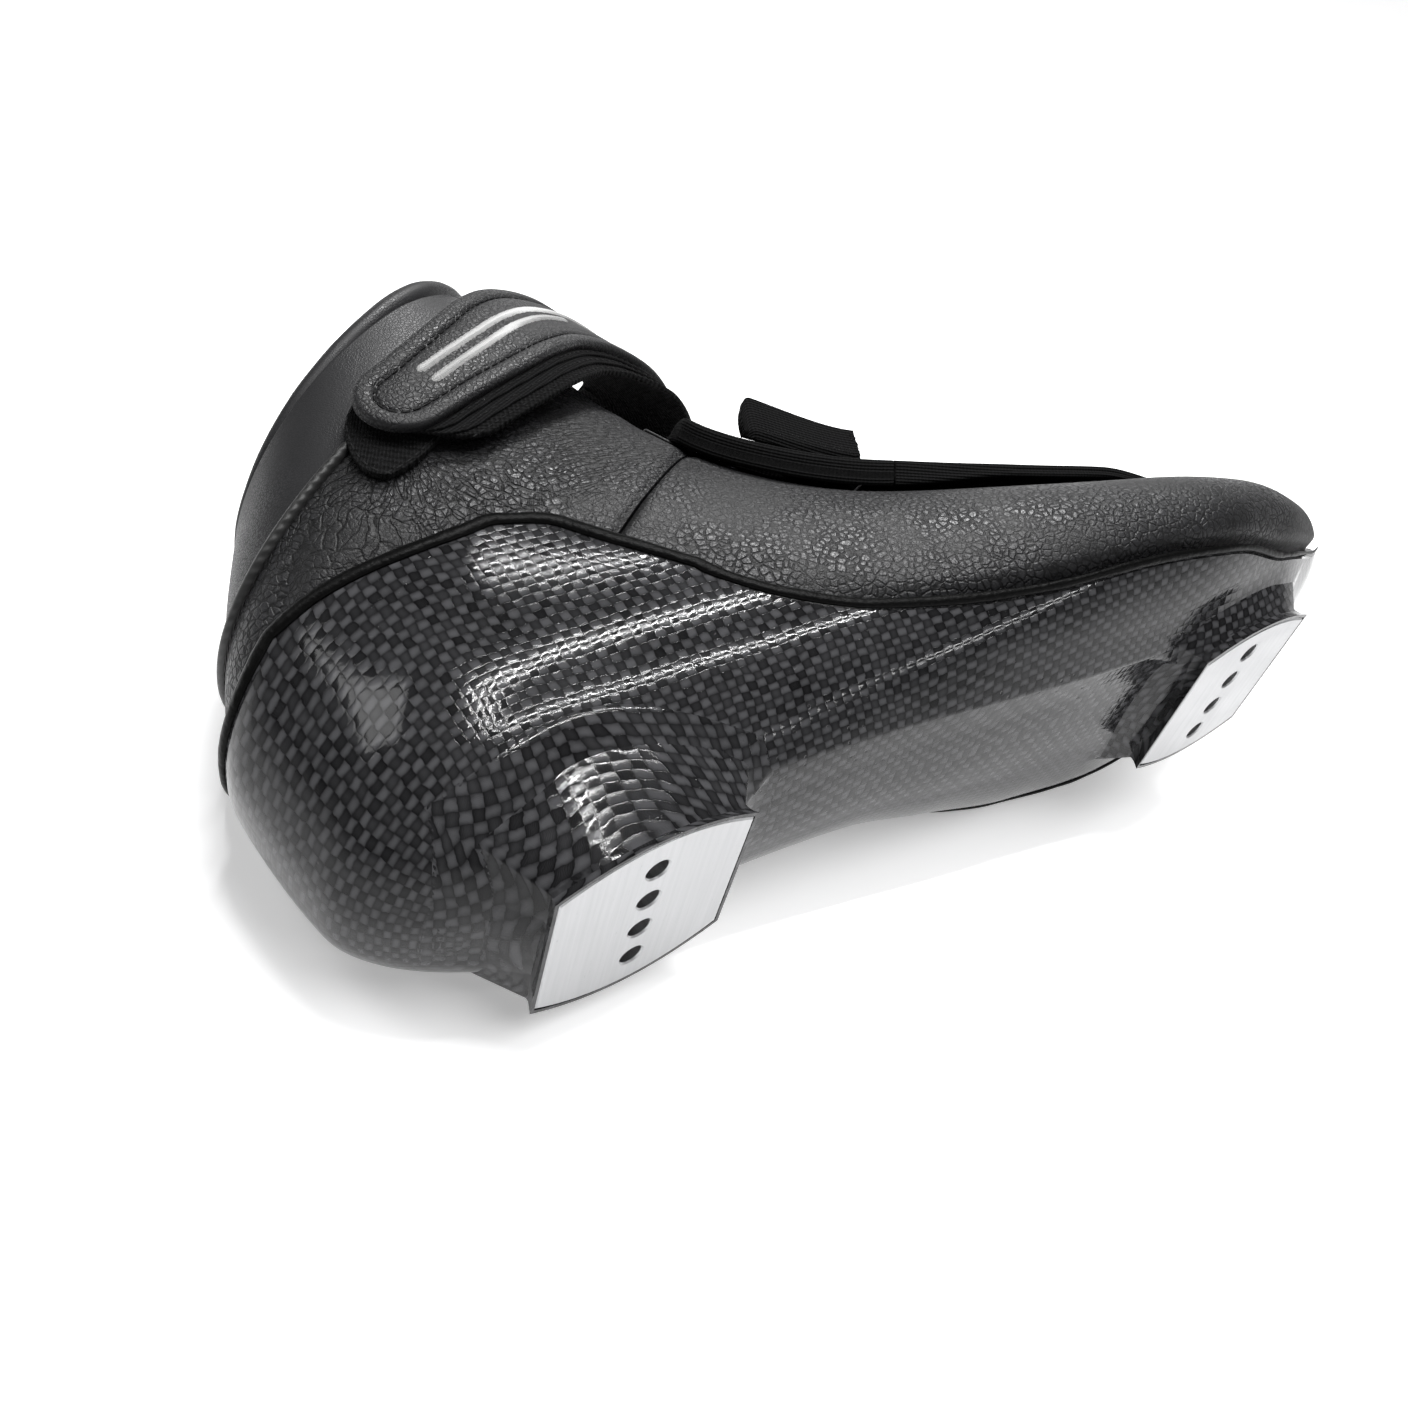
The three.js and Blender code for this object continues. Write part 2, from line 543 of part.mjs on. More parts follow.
EYELET_STATIONS.forEach((t, k) => {
  for (const [hand, side] of [["lateral", 1], ["medial", -1]]) {
    const low = -EYESTAY.thickness;
    const profile = [
      new THREE.Vector2(EYELET.bore, low),
      new THREE.Vector2(EYELET.barrel, low),
      new THREE.Vector2(EYELET.barrel, GAP),
      new THREE.Vector2(EYELET.flange, GAP),
      new THREE.Vector2(EYELET.flange, GAP + EYELET.height),
      new THREE.Vector2(EYELET.bore, GAP + EYELET.height),
      new THREE.Vector2(EYELET.bore, low),
    ];
    const ring = new THREE.LatheGeometry(profile, EYELET.sides);
    add(`eyelet_${hand}_${k + 1}`, upright(ring, t, side * eyeletTurn(t), EYESTAY_TOP), EYELET_METAL);
  }
});

// One flat lace, pulled straight across at each row and along the edge to the next.
const laceLift = EYESTAY_TOP + 2 * GAP + EYELET.height + LACE_RADIUS;
const lacePath = [];
EYELET_STATIONS.forEach((t, k) => {
  const from = k % 2 ? -1 : 1;
  const edge = eyeletTurn(t);
  for (const turn of [edge, mix(edge, 1, 0.4), 1, 2 - mix(edge, 1, 0.4), 2 - edge])
    lacePath.push(onForm(t, from * turn, laceLift));
});
add("lace", cord(lacePath, LACE_RADIUS, 56, 8), LACE);

// ---------------------------------------------------------------- lace cover and instep guard
// The turn at which the form's upper half is a given distance from its middle.
function turnAt(t, half) {
  const [, , , , outer, inner, , , upper] = smooth(FORM, t);
  const share = Math.min(Math.abs(half) / (half > 0 ? outer : inner), 0.98);
  return Math.sign(half) * (1 - Math.asin(share ** (upper / 2)) / Math.PI);
}
function coverTop(t, v) {
  const ramp = ease((t - 0.12) / 0.13);
  return mix(COVER.toeTop, COVER.top, ramp) + COVER.edgeRise * ramp * (2 * v - 1) ** 2;
}
function coverPoint(t, v, depth, beyond) {
  const half = smooth(COVER_HALF, t)[0] + beyond;
  const turn = turnAt(t, (2 * v - 1) * half || 1e-3);
  return onForm(t, turn, coverTop(t, v) - depth);
}
function coverPanel(from, to, nu) {
  const face = (depth) => (u, v) => coverPoint(mix(from, to, u), v, depth, 0);
  return solidFromGrid(face(0), face(COVER.thickness), nu, 8);
}
function coverEdge(from, to, steps) {
  // Up one side of the panel, across its closed end, and down the other.
  const beyond = COVER.edgeRadius + 2 * GAP;
  const side = (v, reverse) => {
    const row = [];
    for (let k = 0; k <= 10; k++) row.push(coverPoint(mix(from, to, k / 10), v, COVER.thickness / 2, beyond));
    return reverse ? row.reverse() : row;
  };
  const past = to + (to < from ? -0.02 : 0.024);
  const end = [0.15, 0.5, 0.85].map((v) => coverPoint(past, v, COVER.thickness / 2, 0));
  return cord([...side(0, false), ...end, ...side(1, true)], COVER.edgeRadius, steps, 6);
}
add("lace_cover", coverPanel(COVER_SPLIT - 0.001, 0.035, 14), SMOOTH_LEATHER);
add("cover_edge", coverEdge(COVER_SPLIT - 0.001, 0.035, 44), HOOK_LOOP);
add("instep_guard", coverPanel(COVER_SPLIT + 0.001, GUARD_END, 7), SMOOTH_LEATHER);
add("guard_edge", coverEdge(COVER_SPLIT + 0.001, GUARD_END, 30), HOOK_LOOP);

// The instep tab stands on the guard's outer edge, its hook side facing out.
function tabPlate(inner, outer) {
  const place = (depth) => (u, v) => {
    const t = mix(0.462, 0.575, u);
    const foot = coverPoint(t, 0.93, -1.2, 0);
    const arch = 0.75 + 0.25 * Math.sin(Math.PI * mix(0.12, 0.9, u));
    const lean = new THREE.Vector3(0.3, -0.28, 0.9).normalize();
    const out = new THREE.Vector3(0, -0.95, -0.3).normalize();
    return foot.addScaledVector(lean, TAB.height * arch * v).addScaledVector(out, depth);
  };
  return solidFromGrid(place(outer), place(inner), 7, 2);
}
add("instep_tab", tabPlate(0, TAB.thickness), SMOOTH_LEATHER);
add("instep_tab_hook", tabPlate(-GAP - TAB.hook, -GAP), HOOK_LOOP);

// ---------------------------------------------------------------- ankle strap
// The strap's outer face, from its free end on the outer side, round the front, to its anchor inside.
const STRAP_ROUTE = [
  [-7, -39.4, 109], [4, -39.8, 112.5], [15, -40, 116.5], [27, -39.4, 121], [40, -36.8, 127],
  [53, -31.6, 132.5], [66, -24.5, 134.5], [78, -14, 133], [84, 0, 130], [79, 14, 133],
  [67, 26, 134.5], [53, 34.5, 132.5], [38, 39.5, 127], [26, 41.3, 121], [14, 41.6, 116.5],
].map((p) => new THREE.Vector3(...p));
const strapCurve = new THREE.CatmullRomCurve3(STRAP_ROUTE);
const STRAP_LEAN = new THREE.Vector3(-0.36, 0, 0.93).normalize();
const PEEL_AT = 0.37; // the free end peels off from here
const SWING_AT = 0.69; // and the open strap swings forward about here; the rest is sewn down

function band(from, to, top, bottom, n, inset) {
  const place = (depth) => (u, v) => {
    const s = mix(from, to, u);
    const along = strapCurve.getTangentAt(s);
    const up = STRAP_LEAN.clone().addScaledVector(along, -STRAP_LEAN.dot(along)).normalize();
    const out = along.clone().cross(up).normalize();
    const width = mix(STRAP_WIDTH.end, STRAP_WIDTH.front, ease(s / 0.3)) - 2 * inset;
    const tip = clamp01((s - 0.0) / 0.05);
    const round = 0.45 + 0.55 * Math.sqrt(1 - (1 - tip) ** 2);
    return strapCurve.getPointAt(s).addScaledVector(up, (v - 0.5) * width * round).addScaledVector(out, -depth);
  };
  return solidFromGrid(place(top), place(bottom), n, 2);
}
const backingTop = STRAP_LEATHER + 2 * GAP;
const backing = (from, to, n) => band(from, to, backingTop, backingTop + STRAP_BACKING, n, 1);
const cut = 0.002;
add("strap_end", band(0, PEEL_AT - cut, 0, STRAP_LEATHER, 12, 0), BLACK_LEATHER);
add("strap_end_hook", backing(0.03, PEEL_AT - cut, 12), HOOK_LOOP);
add("strap_band", band(PEEL_AT + cut, SWING_AT - cut, 0, STRAP_LEATHER, 12, 0), BLACK_LEATHER);
add("strap_band_backing", backing(PEEL_AT + cut, SWING_AT - cut, 12), HOOK_LOOP);
add("strap_tail", band(SWING_AT + cut, 1, 0, STRAP_LEATHER, 9, 0), BLACK_LEATHER);
add("strap_tail_backing", backing(SWING_AT + cut, 0.97, 9), HOOK_LOOP);

// The loop patch under the strap's free end, and the anchor under its sewn end.
const patchTop = CUFF_LIFT + 2 * GAP + PATCH;
const loopPlace = (u, v) => [mix(0.9, 0.955, u), mix(0.385, 0.56, v)];
add("loop_patch", sheet(loopPlace, flat(patchTop), flat(CUFF_LIFT + 2 * GAP), 5, 6), HOOK_LOOP);
const anchorPlace = (u, v) => [mix(0.925, 0.965, u), -mix(0.47, 0.6, v)];
add("strap_anchor", sheet(anchorPlace, flat(patchTop), flat(CUFF_LIFT + 2 * GAP), 4, 5), HOOK_LOOP);

// ---------------------------------------------------------------- laid down
const outward = -Math.sqrt(1 - Math.sin(TOE_RISE) ** 2 - Math.sin(COLLAR_RISE) ** 2);
const up = new THREE.Vector3(Math.sin(TOE_RISE), outward, Math.sin(COLLAR_RISE));
const ahead = new THREE.Vector3(1, 0, 0).addScaledVector(up, -up.x).normalize();
const sideways = up.clone().cross(ahead);
boot.setRotationFromMatrix(new THREE.Matrix4().makeBasis(ahead, sideways, up).transpose());
const skate = new THREE.Group();
skate.add(boot);

// The origin is the middle of the footprint, on the surface that the boot lies on.
const extent = new THREE.Box3().setFromObject(skate, true);
const middle = extent.getCenter(new THREE.Vector3());
boot.position.set(-middle.x, -middle.y, -extent.min.z);

export default skate;
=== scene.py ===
import json
import math

import bmesh
import bpy
import numpy as np
from mathutils import Matrix, Vector

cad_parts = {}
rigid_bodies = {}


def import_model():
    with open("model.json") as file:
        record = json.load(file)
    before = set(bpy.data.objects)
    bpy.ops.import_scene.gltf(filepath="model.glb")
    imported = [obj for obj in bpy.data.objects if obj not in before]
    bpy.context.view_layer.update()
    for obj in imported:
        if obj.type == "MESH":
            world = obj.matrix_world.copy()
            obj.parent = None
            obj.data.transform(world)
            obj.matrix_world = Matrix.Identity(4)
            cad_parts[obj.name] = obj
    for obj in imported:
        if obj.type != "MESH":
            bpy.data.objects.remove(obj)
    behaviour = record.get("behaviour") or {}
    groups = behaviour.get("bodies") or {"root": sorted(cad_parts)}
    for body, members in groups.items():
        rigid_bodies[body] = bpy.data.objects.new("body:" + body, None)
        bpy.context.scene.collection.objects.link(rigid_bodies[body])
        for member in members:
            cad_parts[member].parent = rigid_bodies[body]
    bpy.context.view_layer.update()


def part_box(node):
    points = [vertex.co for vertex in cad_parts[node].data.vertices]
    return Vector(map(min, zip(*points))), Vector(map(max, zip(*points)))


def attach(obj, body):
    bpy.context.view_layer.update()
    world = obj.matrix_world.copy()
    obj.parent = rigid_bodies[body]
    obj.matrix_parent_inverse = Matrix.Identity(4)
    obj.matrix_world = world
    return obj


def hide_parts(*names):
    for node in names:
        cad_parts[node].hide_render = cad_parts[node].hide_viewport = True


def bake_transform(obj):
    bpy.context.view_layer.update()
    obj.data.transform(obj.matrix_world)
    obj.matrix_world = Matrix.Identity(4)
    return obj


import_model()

# ---------------------------------------------------------------- the boot's own axes
# The boot is worked in millimetres: x from heel to toe, y to the inner side, z from sole to collar, with the
# origin in the middle of the heel plate's face. It lies on its inner side, and these two angles say how.
TOE_RISE = math.radians(7.22)
COLLAR_RISE = math.radians(5.04)
BLOCK_THICKNESS = 7

up = np.array([math.sin(TOE_RISE), 0.0, math.sin(COLLAR_RISE)])
up[1] = -math.sqrt(1 - up @ up)
ahead = np.array([1.0, 0.0, 0.0]) - up * up[0]
ahead /= np.linalg.norm(ahead)
LAY = np.array([ahead, np.cross(up, ahead), up])
block_middle = 500 * np.array(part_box("heel_mounting_block")[0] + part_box("heel_mounting_block")[1])
ORIGIN = block_middle - LAY @ np.array([0.0, 0.0, BLOCK_THICKNESS / 2])


def laid(points):
    """Points in the boot's axes, in millimetres, as places in the scene, in metres."""
    return (np.asarray(points, float) @ LAY.T + ORIGIN) / 1000


def laid_direction(direction):
    return LAY @ np.asarray(direction, float)


# ---------------------------------------------------------------- camera, lights and floor
# The camera looks up along the sole from behind the heel, near the surface.
camera_data = bpy.data.cameras.new("camera")
camera_data.lens = 36.6
camera_data.sensor_width = 36
camera_data.clip_start = 0.01
camera_data.clip_end = 200
camera = bpy.data.objects.new("camera", camera_data)
bpy.context.scene.collection.objects.link(camera)
right, down, forward = (
    laid_direction(d)
    for d in ([0.795, -0.208, -0.569], [-0.317, 0.658, -0.683], [0.517, 0.724, 0.457])
)
pose = np.eye(4)
pose[:3, 0] = right
pose[:3, 1] = -down
pose[:3, 2] = -forward
pose[:3, 3] = laid([-115.1, -218.4, -100.2])
camera.matrix_world = Matrix(pose.tolist())
bpy.context.scene.camera = camera


def area_light(name, place, target, size, power):
    """A softbox or a tube of light, aimed at a target, for the reflections."""
    data = bpy.data.lights.new(name, "AREA")
    data.shape = "RECTANGLE"
    data.size, data.size_y = size
    data.energy = power
    light = bpy.data.objects.new(name, data)
    light.location = place
    light.rotation_euler = (Vector(target) - Vector(place)).to_track_quat("-Z", "Y").to_euler()
    bpy.context.scene.collection.objects.link(light)


def tube_light(name, start, end, width, power):
    """A thin tube of light between two places, which shows as a bright line in the lacquer."""
    start, end = Vector(start), Vector(end)
    middle = (start + end) / 2
    area_light(name, middle, (0, 0, 0.05), ((end - start).length, width), power)
    light = bpy.data.objects[name]
    away = middle.normalized()
    lengthways = (end - start - away * away.dot(end - start)).normalized()
    turned = Matrix((lengthways, away.cross(lengthways), away)).transposed()
    light.rotation_euler = turned.to_euler()


area_light("heel_softbox", (-0.58, 0.4, 0.82), (-0.1, 0, 0.05), (0.3, 0.4), 2.4)
area_light("top_softbox", (0.12, 0.07, 1.06), (0, 0, 0.05), (0.54, 0.3), 0.12)
area_light("front_softbox", (0.25, -1.0, 0.5), (0, 0, 0.05), (0.22, 0.02), 0.9)
tube_light("tube_far", (-0.1, 0.19, 1.04), (0.44, 0.29, 0.92), 0.006, 4.4)
tube_light("tube_near", (-0.16, -0.05, 1.05), (0.38, -0.12, 1.0), 0.006, 4.4)
tube_light("tube_end", (-0.2, -0.03, 1.05), (-0.1, 0.18, 1.05), 0.006, 1.8)
tube_light("tube_high", (0.16, 0.50, 0.86), (0.42, 0.50, 0.82), 0.004, 1.0)

sun_data = bpy.data.lights.new("soft_overhead", "SUN")
sun_data.energy = 2.2
sun_data.angle = math.radians(48)
sun = bpy.data.objects.new("soft_overhead", sun_data)
sun.rotation_euler = (math.radians(18), math.radians(14), 0)
sun.visible_glossy = False
bpy.context.scene.collection.objects.link(sun)

# The room is white low down and greyer overhead.
world = bpy.data.worlds.new("studio")
world.use_nodes = True
sky = world.node_tree
looking = sky.nodes.new("ShaderNodeTexCoord")
height = sky.nodes.new("ShaderNodeSeparateXYZ")
shade = sky.nodes.new("ShaderNodeMapRange")
shade.interpolation_type = "SMOOTHSTEP"
for key, value in (("From Min", 0.04), ("From Max", 0.26), ("To Min", 1.0), ("To Max", 0.05)):
    shade.inputs[key].default_value = value
sky.nodes["Background"].inputs["Color"].default_value = (1, 1, 1, 1)
sky.links.new(looking.outputs["Generated"], height.inputs[0])
sky.links.new(height.outputs["Z"], shade.inputs["Value"])
sky.links.new(shade.outputs[0], sky.nodes["Background"].inputs["Strength"])
bpy.context.scene.world = world
bpy.context.scene.view_settings.view_transform = "Standard"

floor_mesh = bpy.data.meshes.new("floor")
floor_mesh.from_pydata([(-40, -40, 0), (40, -40, 0), (40, 40, 0), (-40, 40, 0)], [], [(0, 1, 2, 3)])
floor = bpy.data.objects.new("floor", floor_mesh)
bpy.context.scene.collection.objects.link(floor)


# ---------------------------------------------------------------- finishes
# Every finish of the boot is worked in the boot's own millimetres, so that grain, weave and thread keep their
# real size from piece to piece.
class Wire:
    """A value in a finish, with the arithmetic that its nodes do."""

    def __init__(self, finish, socket):
        self.finish = finish
        self.socket = socket

    def maths(self, operation, *others, swap=False):
        values = [self, *others][:: -1 if swap else 1]
        return self.finish.node("ShaderNodeMath", {"operation": operation}, dict(enumerate(values)))

    def __add__(self, other):
        return self.maths("ADD", other)

    def __sub__(self, other):
        return self.maths("SUBTRACT", other)

    def __rsub__(self, other):
        return self.maths("SUBTRACT", other, swap=True)

    def __mul__(self, other):
        return self.maths("MULTIPLY", other)

    def __truediv__(self, other):
        return self.maths("DIVIDE", other)

    def __pow__(self, other):
        return self.maths("POWER", other)


class Finish:
    """A material: its shader, and the nodes that vary it over the surface."""

    def __init__(self, name, color, roughness, **constants):
        self.material = bpy.data.materials.new(name)
        self.material.use_nodes = True
        self.tree = self.material.node_tree
        self.shader = self.tree.nodes["Principled BSDF"]
        self.shader.inputs["Base Color"].default_value = (*color, 1)
        self.shader.inputs["Roughness"].default_value = roughness
        for key, value in constants.items():
            self.shader.inputs[key.replace("_", " ").title().replace("Ior", "IOR")].default_value = value

    def node(self, kind, settings=None, inputs=None, output=0):
        made = self.tree.nodes.new(kind)
        for key, value in (settings or {}).items():
            setattr(made, key, value)
        for key, value in (inputs or {}).items():
            if isinstance(value, Wire):
                self.tree.links.new(value.socket, made.inputs[key])
            else:
                made.inputs[key].default_value = value
        return Wire(self, made.outputs[output])

    def feed(self, socket, wire):
        self.tree.links.new(wire.socket, self.shader.inputs[socket])

    def place(self):
        """Where a point is in the boot's axes, in millimetres, as it was made."""
        return self.node("ShaderNodeAttribute", {"attribute_name": "boot"}, output=1)

    def split(self, vector):
        parts = self.tree.nodes.new("ShaderNodeSeparateXYZ")
        self.tree.links.new(vector.socket, parts.inputs[0])
        return [Wire(self, parts.outputs[k]) for k in range(3)]

    def join(self, x, y, z=0.0):
        return self.node("ShaderNodeCombineXYZ", {}, {0: x, 1: y, 2: z})

    def along(self):
        """The piece's own map, in millimetres, as two values."""
        return self.split(self.node("ShaderNodeUVMap", {"uv_map": "along"}))[:2]

    def noise(self, vector, scale, detail=2.0, roughness=0.5, distortion=0.0):
        inputs = {"Vector": vector, "Scale": scale, "Detail": detail}
        inputs |= {"Roughness": roughness, "Distortion": distortion}
        return self.node("ShaderNodeTexNoise", {}, inputs)

    def cells(self, vector, scale, feature="F1"):
        inputs = {"Vector": vector, "Scale": scale, "Randomness": 1.0}
        return self.node("ShaderNodeTexVoronoi", {"feature": feature}, inputs)

    def spread(self, value, low, high, to_low, to_high):
        inputs = {0: value, 1: low, 2: high, 3: to_low, 4: to_high}
        return self.node("ShaderNodeMapRange", {"interpolation_type": "SMOOTHSTEP"}, inputs)

    def tint(self, factor, first, second):
        inputs = {0: factor, 6: (*first, 1), 7: (*second, 1)}
        return self.node("ShaderNodeMix", {"data_type": "RGBA"}, inputs, output=2)

    def relief(self, height, distance):
        """Raises the surface by height times distance, in millimetres."""
        inputs = {"Height": height, "Distance": distance / 1000, "Strength": 1.0}
        self.feed("Normal", self.node("ShaderNodeBump", {}, inputs))


floor_finish = Finish(
    "pale_floor", (0.93, 0.93, 0.935), 0.6, emission_color=(1, 1, 1, 1), emission_strength=0.34
)
floor_mesh.materials.append(floor_finish.material)

# ---------------------------------------------------------------- carbon shell
# One laminate of woven carbon in clear resin: heel cup, sole and low walls. It is laid up over a last, so its
# form is a row of sections, which fan out round the heel, and it is trimmed along a rising and falling rim.
FORM = np.array([
    # t, low x, low z, high x, high z, outer, inner, widest, lower, upper, shift
    [0.0, 216, 11, 216, 13, 1, 1, 0.5, 2.2, 2.2, 6],
    [0.01, 214, 6, 213, 19, 13, 11, 0.5, 2.3, 2.2, 6],
    [0.04, 209, 1, 206, 26, 24, 20, 0.46, 2.4, 2.1, 6],
    [0.09, 198, -2, 194, 31, 34, 30, 0.42, 2.5, 2.0, 6],
    [0.17, 178, -4, 173, 37, 42, 41, 0.38, 2.6, 1.9, 4],
    [0.28, 150, -4, 146, 45, 46, 48, 0.34, 2.7, 1.85, 2],
    [0.38, 120, -2, 119, 57, 44, 46, 0.34, 2.7, 1.85, 1],
    [0.47, 90, 1, 96, 72, 39, 39, 0.34, 2.6, 1.9, 1],
    [0.55, 62, 4, 81, 88, 35, 34, 0.36, 2.6, 1.9, 0],
    [0.63, 30, 6, 75, 101, 34, 33, 0.38, 2.6, 1.9, 0],
    [0.7, 0, 7, 72, 112, 34, 34, 0.4, 2.6, 1.9, 0],
    [0.77, -28, 9, 70, 119, 34, 34, 0.42, 2.5, 2.0, 0],
    [0.84, -51, 26, 68, 126, 34, 34, 0.46, 2.3, 2.0, 0],
    [0.9, -54, 55, 66, 134, 33, 34, 0.5, 2.2, 2.0, 0],
    [0.95, -43, 86, 63, 146, 34, 35, 0.52, 2.2, 2.0, 0],
    [1.0, -29, 114, 56, 160, 35, 36, 0.52, 2.2, 2.0, 0],
])
RIM = np.array([
    [0.0, 0.42], [0.04, 0.27], [0.1, 0.22], [0.17, 0.22], [0.26, 0.27], [0.35, 0.308], [0.42, 0.322],
    [0.475, 0.35], [0.515, 0.371], [0.56, 0.396], [0.61, 0.446], [0.667, 0.496], [0.733, 0.53],
    [0.79, 0.542], [0.828, 0.515], [0.848, 0.483], [0.878, 0.404], [0.902, 0.304], [0.913, 0.22],
])
RIM_END = 0.913
SHELL_WALL = 1.6
CREST_HEIGHT = 1.3
CREST_REACH = 9
FAN_HEEL = -10
FAN_TOE = 165


def smooth(rows, x):
    """Smooth curves through rows of keys, with no overshoot between them: one column each, at every x."""
    keys, values = rows[:, 0], rows[:, 1:]
    step = np.diff(keys)[:, None]
    rise = np.diff(values, axis=0) / step
    before, after = rise[:-1], rise[1:]
    w1 = 2 * step[1:] + step[:-1]
    w2 = step[1:] + 2 * step[:-1]
    with np.errstate(divide="ignore", invalid="ignore"):
        inner = np.where(before * after > 0, (w1 + w2) / (w1 / before + w2 / after), 0)
    slope = np.vstack([rise[:1], inner, rise[-1:]])
    x = np.clip(np.asarray(x, float), keys[0], keys[-1])
    k = np.clip(np.searchsorted(keys, x, "right") - 1, 0, len(keys) - 2)
    h = step[k]
    s = (x - keys[k])[..., None] / h
    a, b, da, db = values[k], values[k + 1], slope[k] * h, slope[k + 1] * h
    s2, s3 = s * s, s * s * s
    result = a * (2 * s3 - 3 * s2 + 1) + da * (s3 - 2 * s2 + s) + b * (3 * s2 - 2 * s3) + db * (s3 - s2)
    return np.moveaxis(result, -1, 0)


def mix(a, b, s):
    return a + (b - a) * s


def ease(x):
    x = np.clip(x, 0, 1)
    return x * x * (3 - 2 * x)


def form_point(t, turn):
    """A point on the form. turn is in half turns from the sole, above 0 on the outer side."""
    t, turn = np.broadcast_arrays(np.asarray(t, float), np.asarray(turn, float))
    bx, bz, tx, tz, outer, inner, widest, lower, upper, shift = smooth(FORM, t)
    c, s = np.cos(turn * np.pi), np.sin(turn * np.pi)
    power = 2 / np.where(c > 0, lower, upper)
    rise = np.sign(c) * np.abs(c) ** power
    across = np.sign(s) * np.abs(s) ** power
    share = np.where(rise > 0, widest * (1 - rise), widest - (1 - widest) * rise)
    half = np.where(across > 0, outer, inner)
    return np.stack([mix(bx, tx, share), shift - half * across, mix(bz, tz, share)], -1)


def unit(v):
    return v / np.maximum(np.linalg.norm(v, axis=-1, keepdims=True), 1e-9)


def form_normal(t, turn):
    e = 0.002
    t0 = np.maximum(t, 0.004)
    lengthways = form_point(np.minimum(t0 + e, 1), turn) - form_point(np.maximum(t0 - e, 0), turn)
    around = form_point(t0, turn + e) - form_point(t0, turn - e)
    return unit(np.cross(around, lengthways))


def on_form(t, turn, lift):
    return form_point(t, turn) + form_normal(t, turn) * np.asarray(lift, float)[..., None]


def rim_turn(t):
    return smooth(RIM, t)[0]


def lengths(points, axis):
    """Distance run along rows or columns of points."""
    steps = np.linalg.norm(np.diff(points, axis=axis), axis=-1)
    total = np.cumsum(steps, axis=axis)
    return np.insert(total, 0, 0, axis=axis)


def put_in(name, mesh):
    piece = bpy.data.objects.new(name, mesh)
    bpy.context.scene.collection.objects.link(piece)
    return piece


def make_piece(name, points, faces, finish, uvs=None, sharp=40):
    """A piece from points in the boot's axes. uvs are per point, in millimetres."""
    mesh = bpy.data.meshes.new(name)
    mesh.from_pydata(laid(points).tolist(), [], [list(map(int, f)) for f in faces])
    mesh.materials.append(finish.material)
    mesh.polygons.foreach_set("use_smooth", [True] * len(mesh.polygons))
    if uvs is not None:
        layer = mesh.uv_layers.new(name="along")
        corner = np.zeros(len(mesh.loops), int)
        mesh.loops.foreach_get("vertex_index", corner)
        layer.data.foreach_set("uv", np.asarray(uvs, np.float32)[corner].ravel())
    if sharp:
        mesh.set_sharp_from_angle(angle=math.radians(sharp))
    mesh.update()
    return put_in(name, mesh)


def grid_faces(nu, nv, start=0, turned=False):
    """Faces of a grid of nu by nv points."""
    i, j = np.meshgrid(np.arange(nu - 1), np.arange(nv - 1), indexing="ij")
    a = (start + i * nv + j).ravel()
    quads = np.stack([a, a + nv, a + nv + 1, a + 1], 1)
    return quads[:, ::-1] if turned else quads


def slab_faces(nu, nv):
    """Faces of a closed slab: an upper grid, a lower grid, and the edge between them."""
    n = nu * nv
    ring = [i * nv for i in range(nu)] + [(nu - 1) * nv + j for j in range(1, nv)]
    ring += [i * nv + nv - 1 for i in range(nu - 2, -1, -1)] + [j for j in range(nv - 2, 0, -1)]
    edge = [(b, a, a + n, b + n) for a, b in zip(ring, ring[1:] + ring[:1])]
    return np.vstack([grid_faces(nu, nv), grid_faces(nu, nv, n, True), np.array(edge)])


def outwards(piece):
    """Turns the faces of a closed piece to point out."""
    mesh = piece.data
    co = np.zeros(len(mesh.vertices) * 3)
    mesh.vertices.foreach_get("co", co)
    co = co.reshape(-1, 3)
    mesh.calc_loop_triangles()
    tri = np.zeros(len(mesh.loop_triangles) * 3, int)
    mesh.loop_triangles.foreach_get("vertices", tri)
    a, b, c = (co[tri.reshape(-1, 3)[:, k]] for k in range(3))
    if np.einsum("ij,ij->i", a, np.cross(b, c)).sum() < 0:
        mesh.flip_normals()
        mesh.update()
    return piece


def stations(n, from_, to):
    return np.linspace(from_, to, n)


def fix(piece, body, slot, *nodes):
    """Keeps each point's place in the boot's axes for the finish; a piece with a named body goes on that
    body.
    """
    mesh = piece.data
    places = np.zeros(len(mesh.vertices) * 3, np.float32)
    mesh.vertices.foreach_get("co", places)
    boot = (places.reshape(-1, 3) * 1000 - ORIGIN) @ LAY
    mark = mesh.attributes.new("boot", "FLOAT_VECTOR", "POINT")
    mark.data.foreach_set("vector", boot.astype(np.float32).ravel())
    if isinstance(body, str):
        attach(piece, body)
    else:
        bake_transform(piece)
    if nodes:
        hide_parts(*nodes)
    return piece


def soften(piece, width):
    """Rounds the cut edges of a slab."""
    bevel = piece.modifiers.new("rounded_edges", "BEVEL")
    bevel.width = width / 1000
    bevel.segments = 2
    bevel.angle_limit = math.radians(50)
    return piece


# Woven carbon: dark flat tows that pass over and under each other, each a little cushion of fine fibres that
# run one way or the other, drowned in clear resin with a faint print of the weave and a few pinholes.
TOW = 2.1

